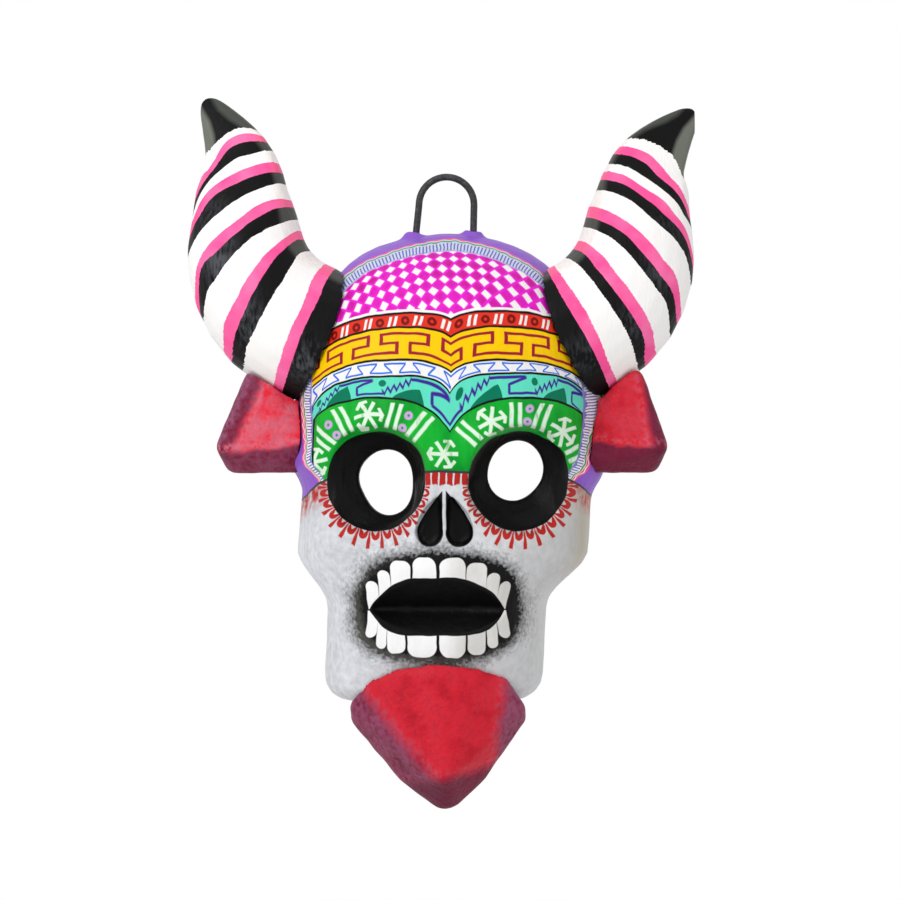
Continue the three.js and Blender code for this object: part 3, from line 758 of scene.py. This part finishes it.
# How much painted shade darkens each red piece, away from the light, and how much brushed pink
# shows on it, partly painted light on the lit left ear; then the flats where its maroon shows: a
# plane's normal and distance, the softness of its edge and how much plum is washed over it
RED_LUMPS = {
    "ear_left": (0.0, 0.9, (((-0.916, 0, 0.401), 28.8, 2.5, 0.3),
                            ((-0.916, 0, 0.401), 32.4, 1.5, 1.0),
                            ((0.104, 0, -0.995), 87.9, 1.4, 0.5))),
    "ear_right": (0.4, 0.3, (((0.987, 0, 0.161), 56.6, 2.5, 0.2),
                             ((-0.083, 0, -0.997), 88.0, 1.4, 0.1))),
    "goatee": (0.45, 0.12, (((-0.766, 0, -0.643), 134.5, 5.0, 0.7),
                            ((0.99, 0, -0.14), 46.5, 4.0, 0.8),
                            ((0.2, 0, -0.98), 202.8, 4.0, 0.1))),
}


def red_material(name, paint, painted_shade_share, blush, flats):
    """Red dry-brushed over maroon and darkened by painted shade: flats are planes beyond which the
    maroon shows.
    """
    board = Board(name)
    spot, (x, y, z) = board.place(2.5, 120.0)
    brush = board.noise(spot, 560.0, 8.0)
    cloud = board.noise(spot, 110.0, 6.0)
    # brushed pink, partly painted light where the piece is lit
    shade = board.mix(board.ramp(cloud + brush * 0.5, 0.66, 0.95) * blush, paint.red, paint.blush)
    # painted shade: the piece darkens towards deep red by its share
    shade = board.mix(board.ramp(cloud, 0.5, 0.3) * 0.4 + painted_shade_share, shade, paint.deep)
    shade = board.mix(board.ramp(brush, 0.5, 0.8) * 0.35, shade, paint.maroon)
    for (px, py, pz), edge, soft, pale in flats:
        past = x * px + y * py + z * pz - edge + (brush - 0.5) * 3.0
        if pale < 1:
            worn = board.ramp(brush, 0.42, 0.6) * board.below(abs(past + 1.4), 1.2, 2.2)
            shade = board.mix(worn * (blush * 0.8 + 0.1), shade, paint.blush)
        wash = board.ramp(brush + cloud * 0.6, 0.55, 0.95) * pale
        dim = board.mix(wash, paint.maroon, paint.plum)
        shade = board.mix(board.above(past, 0.0, soft) * 0.92, shade, dim)
    roughness = 0.34 + brush * 0.3
    height = brush + board.noise(spot, 1100.0, 3.0) * 0.3
    return board.clay(shade, roughness, height, relief=0.0006, gloss=0.13)


def wire_material(paint):
    """Black annealed iron with patches of scale."""
    board = Board("black_iron")
    spot = board.node("TexCoord").outputs["Object"]
    scale = board.noise(spot, 700.0, 4.0)
    shade = board.mix(board.ramp(scale, 0.45, 0.75), paint.iron, paint.scale)
    return board.clay(shade, 0.4 + scale * 0.3, scale, relief=0.0002, gloss=0.5)


# Clay pieces: places and sizes are in millimetres


MERGE = 1e-6  # metres between points that are one
HEAD_X = 1.0  # the skull's middle
RIM_Y = -0.8  # just in front of the flat back rim
FLOOR_Z = -165.0  # inside the jaw
CEILING_Z = -62.0  # inside the crown
BOWL = 19.5  # radius of a socket with its wall, painted in front and bare behind
BOWL_BACK_Y = -14.0
BOWL_SIDE = 13.5  # from this radius on, the wall is a side wall, bare behind WALL_Y
WALL_Y = -30.0
# How far the maker's hand moved each feature across, or up, where two numbers are for the
# left and the right
NOSE_SHIFT = -1.1
CHEEK_SHIFTS = (0.9, 1.4)
TEMPLE_SHIFTS = (-1.8, 4.0)
SIDE_SHIFT = 4.5
CROWN_SHIFT = 1.0
EAR_SHIFT = 2.0
# Each eye hole's middle, and how far its rim is moved outwards, as cosine and sine shares. A
# fitting program made the shares, from the rim's place in the photo and in an earlier render.
EYE_HOLES = (
    (-19.4, -105.2, ((-0.38, 0.0), (1.61, -0.22), (-0.17, -0.32), (-0.5, 0.22))),
    (25.5, -102.9, ((-0.73, 0.0), (-1.09, 0.8), (0.21, 0.49), (0.1, -0.11))),
)


def only(piece):
    """Selects one object and makes it the active one."""
    bpy.ops.object.select_all(action="DESELECT")
    piece.select_set(True)
    bpy.context.view_layer.objects.active = piece


def apply(piece, kind, **settings):
    """Adds a modifier and applies it."""
    only(piece)
    modifier = piece.modifiers.new(kind.lower(), kind)
    for key, value in settings.items():
        setattr(modifier, key, value)
    bpy.ops.object.modifier_apply(modifier=modifier.name)


def clay_copy(node, name, voxel, smoothing):
    """A copy of a CAD node, merged and remeshed into even, soft-edged clay."""
    piece = bpy.data.objects.new(name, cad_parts[node].data.copy())
    bpy.context.scene.collection.objects.link(piece)
    piece.data.materials.clear()
    only(piece)
    bpy.ops.object.mode_set(mode="EDIT")
    bpy.ops.mesh.select_all(action="SELECT")
    bpy.ops.mesh.remove_doubles(threshold=MERGE)
    bpy.ops.object.mode_set(mode="OBJECT")
    apply(piece, "REMESH", mode="VOXEL", voxel_size=voxel, use_smooth_shade=True)
    apply(piece, "SMOOTH", factor=0.5, iterations=smoothing)
    return piece


def dent(piece, depth, width):
    """Presses soft dents into the clay, never outwards."""
    clouds = bpy.data.textures.new(f"dents_{piece.name}", "CLOUDS")
    clouds.noise_scale = width
    clouds.noise_depth = 1
    apply(piece, "DISPLACE", texture=clouds, texture_coords="LOCAL", strength=depth, mid_level=1.0)


def finish_piece(piece, material, slot, *nodes):
    """Gives a piece its material, parents it to the root body and hides the CAD nodes it replaces.
    """
    piece.data.materials.append(material)
    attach(piece, "root")
    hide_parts(*nodes)
    return piece


def mark(piece, name, values):
    """Stores one number for each point of the mesh."""
    layer = piece.data.attributes.new(name, "FLOAT", "POINT")
    layer.data.foreach_set("value", values)


def mark_bare(piece):
    """Marks what the brush didn't reach: the back rim, the inside, its floor and its ceiling."""
    values = []
    for vertex in piece.data.vertices:
        point, normal = vertex.co * MM, vertex.normal
        outwards = Vector((point.x - HEAD_X, point.y, 0.0)).normalized()
        eye = min(Vector((point.x - middle, point.z - EYE_Z)).length for middle, _, _ in EYES)
        inside = normal.dot(outwards) < -0.25
        if eye < BOWL and point.y < BOWL_BACK_Y:
            inner_wall = inside and eye > BOWL_SIDE and point.y > WALL_Y
            inside = normal.y > 0.35 or inner_wall
        floor = normal.z > 0.6 and point.z < FLOOR_Z
        ceiling = normal.z < -0.4 and point.z > CEILING_Z
        values.append(float(point.y > RIM_Y or inside or floor or ceiling))
    mark(piece, "bare", values)


def slope(value, low, high):
    """0 up to low, 1 from high on, straight between, also where high is the smaller one."""
    return min(1.0, max(0.0, (value - low) / (high - low)))


def smooth(value, low, high):
    """0 up to low, 1 from high on, rounded at both ends."""
    share = slope(value, low, high)
    return share * share * (3 - 2 * share)


def bell(value, middle, width):
    """1 at the middle, falling off to both sides."""
    return math.exp(-((value - middle) / width) ** 2)


def eye_shift(x, z):
    """How far a point near an eye hole moves across and up."""
    across = up = 0.0
    for (middle, _, _), (hole_x, hole_z, swell) in zip(EYES, EYE_HOLES):
        near = smooth(math.hypot(x - middle, z - EYE_Z), 16.8, 12.5)
        if near:
            turn = math.atan2(z - hole_z, x - hole_x)
            grow = near * sum(cosine * math.cos(n * turn) + sine * math.sin(n * turn)
                              for n, (cosine, sine) in enumerate(swell))
            across += grow * math.cos(turn)
            up += grow * math.sin(turn)
    return across, up


def shift_features(piece):
    """Moves eye holes, nose, temples, cheeks and crown a little, as the maker's hand did."""
    for vertex in piece.data.vertices:
        x, y, z = vertex.co * MM
        across, up = eye_shift(x, z)
        nose = smooth(abs(x - 2.5), 13.5, 9.5)
        across += NOSE_SHIFT * nose * smooth(z, -133.0, -128.0) * smooth(z, -103.0, -107.0)
        cheek = smooth(abs(x), 38.0, 50.0) * smooth(z, -158.0, -146.0) * smooth(z, -104.0, -110.0)
        across += CHEEK_SHIFTS[x > 0] * cheek
        if x > 0:
            temple = smooth(x, 44.0, 51.0) * bell(z, -104.0, 4.5)
            side = smooth(x, 45.0, 53.0) * smooth(y, -38.0, -18.0) * bell(z, -81.0, 12.0)
            across += SIDE_SHIFT * side
        else:
            temple = smooth(-x, 37.0, 46.0) * bell(z, -99.5, 4.0)
        across += TEMPLE_SHIFTS[x > 0] * temple
        up += CROWN_SHIFT * max(0.0, 1 - ((x - 1.2) / 9.0) ** 2) * smooth(z, -24.0, -20.0)
        vertex.co += Vector((across, 0.0, up)) / MM


def lean_ear(piece):
    """Leans the upper inner edge of the right ear outwards."""
    for vertex in piece.data.vertices:
        x, _, z = vertex.co * MM
        vertex.co.x += EAR_SHIFT * smooth(z, -93.0, -77.0) * smooth(x, 61.0, 52.0) / MM


HORN_ROOT = Vector((29.0, -21.8, -59.9))
HORN_TIPS = {-1: (54.4, 89.2), 1: (58.3, 84.7)}  # how far each tip reaches out and up
HORN_MIDDLE_X = -0.8  # halfway between the horns
HORN_LIMIT = 88.0  # the right horn stays inside of this
HORN_PUSH = 1.6  # how far the right horn is moved outwards
HORN_BULGE = 1.4  # and how much more where it bulges
HORN_RADIUS = 24.4  # at the root
HORN_TAPER = 21.6  # what the radius loses from TAPER_START, a share of the length, to the tip
TAPER_START = 0.17
FLATTENING = 0.75  # share of what stands out that is pressed back at the tip


def curve_through(knots, steps=24):
    """Points of a smooth curve through the knots."""
    knots = [knots[0] * 2 - knots[1], *knots, knots[-1] * 2 - knots[-2]]
    points = []
    for p, q, r, s in zip(knots, knots[1:], knots[2:], knots[3:]):
        t1 = (q - p).length ** 0.5
        t2 = t1 + (r - q).length ** 0.5
        t3 = t2 + (s - r).length ** 0.5
        for i in range(steps):
            t = t1 + (t2 - t1) * i / steps
            a = p.lerp(q, t / t1)
            b = q.lerp(r, (t - t1) / (t2 - t1))
            c = r.lerp(s, (t - t2) / (t3 - t2))
            early, late = a.lerp(b, t / t2), b.lerp(c, (t - t1) / (t3 - t1))
            points.append(early.lerp(late, (t - t1) / (t2 - t1)))
    points.append(knots[-2])
    return points


def horn_path(side):
    """Points of the horn's middle line and their distances from its root."""
    reach, rise, lean = 40.4, 49.2, 10.0
    tip_x, tip_z = HORN_TIPS[side]
    knots = [(0, 0, 0), (reach * 0.38, 0, rise * 0.1), (reach * 0.72, 0, rise * 0.28),
             (reach * 0.93, lean * 0.1, rise * 0.57), (reach, lean * 0.3, rise * 0.98),
             (reach + (tip_x - reach) * 0.1, lean * 0.58, rise + (tip_z - rise) * 0.42),
             (tip_x, lean, tip_z)]
    knots = [HORN_ROOT + Vector(knot) for knot in knots]
    points = curve_through([Vector((HORN_MIDDLE_X + side * knot.x, knot.y, knot.z))
                            for knot in knots])
    places = [0.0]
    for a, b in zip(points, points[1:]):
        places.append(places[-1] + (b - a).length)
    return points, places


# Where white, pink and black begin in turn, as places along the horn. Each row is one painted
# edge, from the horn's outer side to its inner side. A fitting program made these numbers, from
# points read off the photo by eye, and six of them were then changed by hand.
ACROSS = (-23.0, -16.0, -9.0, -2.0, 5.0, 12.0, 19.0)
STRIPES = {
    -1: (
        (91.8, 94.2, 96.6, 99.0, 98.7, 93.4, 88.2), (72.3, 81.5, 90.8, 96.5, 96.3, 91.7, 86.4),
        (60.9, 74.3, 87.7, 93.7, 93.3, 90.1, 86.0), (60.4, 72.4, 84.0, 89.1, 89.1, 88.1, 85.2),
        (59.9, 70.6, 79.1, 83.8, 85.4, 85.1, 82.5), (55.0, 67.3, 75.1, 79.5, 82.2, 82.6, 81.2),
        (54.2, 61.9, 68.4, 73.0, 77.1, 79.2, 78.8), (45.4, 54.6, 60.7, 65.3, 70.3, 73.5, 73.1),
        (42.1, 52.3, 56.3, 61.1, 66.0, 69.1, 69.4), (41.1, 46.9, 50.6, 55.4, 60.2, 63.5, 65.4),
        (33.2, 37.7, 40.6, 44.7, 49.6, 55.8, 61.1), (31.2, 33.8, 36.4, 39.9, 44.4, 50.5, 57.3),
        (28.4, 30.1, 31.5, 33.3, 36.0, 40.4, 47.6), (19.9, 20.6, 21.6, 22.5, 23.1, 24.4, 27.1),
        (17.0, 17.4, 18.0, 18.7, 18.9, 19.0, 20.1), (12.9, 13.0, 13.5, 13.5, 12.8, 12.6, 12.5),
    ),
    1: (
        (79.9, 87.4, 94.9, 96.0, 94.0, 89.6, 85.6), (62.2, 73.2, 86.5, 90.5, 90.1, 87.6, 85.1),
        (61.0, 71.1, 80.3, 86.6, 87.4, 85.7, 84.0), (58.5, 68.9, 75.9, 81.6, 84.1, 83.6, 82.8),
        (50.5, 64.6, 72.3, 77.3, 81.4, 81.9, 81.2), (50.1, 61.5, 68.4, 73.5, 78.5, 79.8, 79.3),
        (48.4, 57.3, 63.2, 68.6, 74.0, 76.7, 76.6), (42.3, 49.7, 54.2, 60.2, 65.2, 68.3, 69.4),
        (40.4, 46.5, 50.0, 54.5, 60.5, 64.2, 66.0), (37.5, 43.1, 46.4, 50.2, 55.5, 60.2, 62.6),
        (32.8, 36.2, 38.8, 41.5, 44.9, 50.3, 56.4), (29.9, 33.3, 35.3, 37.2, 39.7, 43.3, 48.3),
        (28.4, 30.2, 31.8, 33.3, 35.1, 37.8, 40.9), (22.8, 23.0, 23.9, 24.7, 25.2, 25.1, 24.7),
        (20.3, 20.7, 20.9, 20.8, 20.3, 20.0, 19.9), (16.4, 16.7, 17.1, 17.1, 16.5, 15.8, 15.2),
    ),
}
LAST_STRIPE = 14.5  # beyond it, the root is black
# Where the side faces begin: places along the horn, and how far across it
INNER_FACE = ((30, 20.0), (50, 16.0), (65, 13.5), (79, 12.0),
              (89, 9.0), (96, 6.5), (103, 3.0), (108, 1.5))
OUTER_FACE = ((30, -24.0), (60, -21.5), (75, -17.0), (88, -12.0),
              (95, -6.3), (101, -3.8), (106, -2.6))


def level(value, knots):
    """Straight lines between the knots, held beyond them."""
    if value <= knots[0][0]:
        return knots[0][1]
    for (low, first), (high, last) in zip(knots, knots[1:]):
        if value < high:
            return first + (last - first) * (value - low) / (high - low)
    return knots[-1][1]


def between(before, here, there, after, share):
    """A smooth value on the way from here to there."""
    bend = before - 2.5 * here + 2 * there - after / 2
    twist = 1.5 * (here - there) + (after - before) / 2
    return here + share * ((there - before) / 2 + share * (bend + share * twist))


def stripe_at(place, across, edges):
    """Counts the painted edges down to a place, with the share of the stripe that it is in."""
    column = (across - ACROSS[0]) / (ACROSS[1] - ACROSS[0])
    column = max(0.0, min(len(ACROSS) - 1.001, column))
    index = int(column)
    last = None
    for count, row in enumerate(edges):
        near = (row[min(max(index + i, 0), len(row) - 1)] for i in (-1, 0, 1, 2))
        edge = between(*near, column - index)
        if last is not None:
            edge = min(edge, last - 0.2)
        if place > edge:
            return -1.0 if last is None else count - (place - edge) / (last - edge)
        last = edge
    return float(len(edges))


def push_out(vertex):
    """Moves a point of the right horn outwards, most of all where the horn bulges."""
    x, _, z = vertex.co * MM
    push = slope(z, -10.0, 18.0) * HORN_PUSH
    push += bell(z, 3.0, 11.0) * slope(x, 72.0, 81.0) * HORN_BULGE
    vertex.co.x = min(x + push, HORN_LIMIT) / MM


def flatten(vertex, centre, ahead, side, radius, share):
    """Presses a point back where it stands out from the horn's flat front."""
    inwards = Vector((ahead.z, 0.0, -ahead.x)).normalized() * -side
    front = inwards.cross(ahead)
    if front.y > 0:
        front.negate()
    past = (vertex.co * MM - centre).dot(front) - radius / 2
    if past > 0:
        vertex.co -= front * (past * share * FLATTENING / MM)


def shape_horn(piece, side):
    """Flattens the front towards the tip, and marks the stripes and the side faces."""
    points, places = horn_path(side)
    last = len(points) - 1
    marks = {"stripe": [], "inner": [], "outer": [], "sheen": []}
    for vertex in piece.data.vertices:
        if side > 0:
            push_out(vertex)
        x, _, z = vertex.co * MM
        index = min(range(last + 1), key=lambda i: (x - points[i].x) ** 2 + (z - points[i].z) ** 2)
        centre = points[index]
        ahead = (points[min(index + 1, last)] - points[max(index - 1, 0)]).normalized()
        along = Vector((ahead.x, ahead.z)).normalized()
        offset = Vector((x - centre.x, z - centre.z))
        across = (offset.x * along.y - offset.y * along.x) * -side
        place = places[index] + offset.dot(along)

        marks["stripe"].append(stripe_at(place, across, STRIPES[side]))
        marks["inner"].append(across - level(place, INNER_FACE))
        marks["outer"].append(level(place, OUTER_FACE) - across)
        # painted sheen: a strip where the light glances off the black paint, weaker on the right
        # horn
        glint = bell(across, -9.0, 6.0) * max(0.1, slope(place, 78.0, 58.0))
        marks["sheen"].append(glint if side < 0 else glint * 0.6)

        radius = HORN_RADIUS - HORN_TAPER * slope(index / last, TAPER_START, 1.0) ** 2
        flatten(vertex, centre, ahead, side, radius, slope(place, 62.0, 92.0))
    for name, values in marks.items():
        mark(piece, name, values)


# Operators


class MaskOperator:
    """What the mask's operators share."""

    bl_options = {"REGISTER", "UNDO"}

    @property
    def sizes(self):
        return bpy.context.scene.mask_clay

    def rough(self, node):
        """A lump of rough clay in a node's place."""
        piece = clay_copy(node, f"rough_{node}", self.sizes.lump_voxel, smoothing=4)
        dent(piece, self.sizes.dent, self.sizes.dent_width / 2)
        return piece

    def redden(self, piece, node):
        """Paints a lump red over maroon."""
        material = red_material(f"red_{node}", bpy.context.scene.mask_red, *RED_LUMPS[node])
        finish_piece(piece, material, "red_clay", node)


class MASK_OT_skull(MaskOperator, bpy.types.Operator):
    """Models the skull in clay and paints its bands"""

    bl_idname = "mask.skull"
    bl_label = "Painted Skull"

    def execute(self, context):
        sizes = self.sizes
        skull = clay_copy("skull_shell", "painted_skull", sizes.skull_voxel, smoothing=4)
        mark_bare(skull)
        shift_features(skull)
        dent(skull, sizes.dent, sizes.dent_width)
        material = skull_material(context.scene.mask_skull)
        finish_piece(skull, material, "painted_clay", "skull_shell")
        return {"FINISHED"}


class MASK_OT_horns(MaskOperator, bpy.types.Operator):
    """Models both horns and paints their stripes"""

    bl_idname = "mask.horns"
    bl_label = "Striped Horns"

    def execute(self, context):
        sizes = self.sizes
        material = horn_material(context.scene.mask_horns)
        for side, node in ((-1, "horn_left"), (1, "horn_right")):
            horn = clay_copy(node, f"striped_{node}", sizes.horn_voxel, smoothing=8)
            dent(horn, sizes.dent, sizes.dent_width)
            shape_horn(horn, side)
            apply(horn, "SMOOTH", factor=0.5, iterations=3)
            finish_piece(horn, material, "striped_clay", node)
        return {"FINISHED"}


class MASK_OT_ears(MaskOperator, bpy.types.Operator):
    """Models both ears in rough red clay"""

    bl_idname = "mask.ears"
    bl_label = "Red Ears"

    def execute(self, context):
        left = self.rough("ear_left")
        right = self.rough("ear_right")
        lean_ear(right)
        self.redden(left, "ear_left")
        self.redden(right, "ear_right")
        return {"FINISHED"}


class MASK_OT_beard(MaskOperator, bpy.types.Operator):
    """Models the chin beard in rough red clay"""

    bl_idname = "mask.beard"
    bl_label = "Red Beard"

    def execute(self, context):
        self.redden(self.rough("goatee"), "goatee")
        return {"FINISHED"}


class MASK_OT_loop(MaskOperator, bpy.types.Operator):
    """Rounds the bent iron wire of the hanging loop"""

    bl_idname = "mask.loop"
    bl_label = "Wire Loop"

    def execute(self, context):
        wire = clay_copy("hanger_loop", "wire_loop", self.sizes.wire_voxel, smoothing=4)
        material = wire_material(context.scene.mask_wire)
        finish_piece(wire, material, "iron_wire", "hanger_loop")
        return {"FINISHED"}


# Stage: places and sizes are in metres


TARGET = Vector((0.0021, -0.010, -0.095))  # what the camera and the lamps point at
SENSOR = 36.0  # width of the camera's sensor in its own millimetres
WHITE = (1.0, 1.0, 1.0, 1.0)
PALE = (0.86, 0.86, 0.86, 1.0)
# Each lamp's turn and height in degrees, distance, size and share of the light
LAMPS = {
    "key_lamp": (-38.0, 28.0, 1.2, 0.6, 0.40),
    "fill_lamp": (52.0, 10.0, 1.4, 0.9, 0.10),
    "top_lamp": (0.0, 75.0, 1.3, 0.9, 0.11),
}


def backdrop_rays(board):
    """1 for the rays that show the backdrop: the camera's, and those in gloss and glass."""
    rays = board.node("LightPath")
    return board.most(*(Number(board, rays.outputs[f"Is {kind} Ray"])
                        for kind in ("Camera", "Glossy", "Transmission")))


def floor_material(reach):
    """Pale near the mask, where its shadow falls, and white further out."""
    board = Board("pale_floor")
    spot = board.node("TexCoord").outputs["Object"]
    far = board.node("VectorMath", {"operation": "LENGTH"}, {0: spot}).outputs["Value"]
    pale = board.node("BsdfDiffuse", sockets={"Color": PALE})
    white = board.node("Emission", sockets={"Color": WHITE, "Strength": 1.0})
    fade = board.ramp(far, 0.03, reach) * backdrop_rays(board)
    blend = board.node("MixShader", sockets={0: fade, 1: pale.outputs[0], 2: white.outputs[0]})
    board.node("OutputMaterial", sockets={"Surface": blend.outputs[0]})
    return board.owner


def light_world(ambient):
    """White to look at, and a plain ambient level for the clay."""
    board = Board("pale_room", "worlds")
    strength = board.node("MapRange", sockets={
        "Value": backdrop_rays(board), "To Min": ambient, "To Max": 1.0}).outputs["Result"]
    background = board.node("Background", sockets={"Color": WHITE, "Strength": strength})
    board.node("OutputWorld", sockets={"Surface": background.outputs[0]})
    bpy.context.scene.world = board.owner


def softbox(name, azimuth, elevation, distance, size, share):
    """A square lamp that gives its share of a plain light level at the target."""
    az, el = math.radians(azimuth), math.radians(elevation)
    way = Vector((math.sin(az) * math.cos(el), -math.cos(az) * math.cos(el), math.sin(el)))
    bpy.ops.object.light_add(type="AREA", location=TARGET + way * distance)
    lamp = bpy.context.object
    lamp.name = name
    lamp.rotation_euler = way.to_track_quat("Z", "Y").to_euler()
    lamp.data.shape = "SQUARE"
    lamp.data.size = size
    lamp.data.energy = share * math.pi ** 2 * distance ** 2


class MASK_OT_stage(MaskOperator, bpy.types.Operator):
    """Sets up the camera, the floor and the light"""

    bl_idname = "mask.stage"
    bl_label = "Stage"

    def execute(self, context):
        stage = context.scene.mask_stage
        bpy.ops.object.select_all(action="DESELECT")
        way = Vector((math.sin(stage.turn), -math.cos(stage.turn), 0.0))
        bpy.ops.object.camera_add(location=TARGET + way * stage.distance)
        camera = context.object
        camera.rotation_euler = way.to_track_quat("Z", "Y").to_euler()
        camera.data.sensor_width = SENSOR
        camera.data.lens = SENSOR * stage.distance / stage.field
        camera.data.dof.use_dof = False
        context.scene.camera = camera

        bpy.ops.mesh.primitive_circle_add(
            vertices=96, radius=stage.floor_radius, fill_type="NGON",
            location=(0.0, 0.0, -stage.floor_drop))
        floor = context.object
        floor.name = "pale_floor"
        floor.data.materials.append(floor_material(stage.floor_fade))

        light_world(stage.ambient)
        for name, placing in LAMPS.items():
            softbox(name, *placing)
        context.scene.view_settings.view_transform = "Standard"
        return {"FINISHED"}


# Panel and registration


OPERATORS = (MASK_OT_skull, MASK_OT_horns, MASK_OT_ears, MASK_OT_beard, MASK_OT_loop, MASK_OT_stage)
GROUPS = {"mask_clay": ClaySizes, "mask_skull": SkullPaint, "mask_horns": HornPaint,
          "mask_red": RedPaint, "mask_wire": WirePaint, "mask_stage": StageSizes}


class MASK_PT_sidebar(bpy.types.Panel):
    """Lists the mask's pieces"""

    bl_label = "Skull Mask"
    bl_idname = "MASK_PT_sidebar"
    bl_space_type = "VIEW_3D"
    bl_region_type = "UI"
    bl_category = "Skull Mask"

    def draw(self, context):
        for operator in OPERATORS:
            self.layout.operator(operator.bl_idname)
        for name, group in GROUPS.items():
            box = self.layout.box()
            for key in group.__annotations__:
                box.prop(getattr(context.scene, name), key)


def register():
    for item in (*GROUPS.values(), *OPERATORS, MASK_PT_sidebar):
        bpy.utils.register_class(item)
    for name, group in GROUPS.items():
        setattr(bpy.types.Scene, name, bpy.props.PointerProperty(type=group))


def unregister():
    for name in GROUPS:
        delattr(bpy.types.Scene, name)
    for item in reversed((*GROUPS.values(), *OPERATORS, MASK_PT_sidebar)):
        bpy.utils.unregister_class(item)


def main():
    register()
    bpy.ops.mask.stage()
    bpy.ops.mask.skull()
    bpy.ops.mask.horns()
    bpy.ops.mask.ears()
    bpy.ops.mask.beard()
    bpy.ops.mask.loop()


if __name__ == "__main__":
    main()
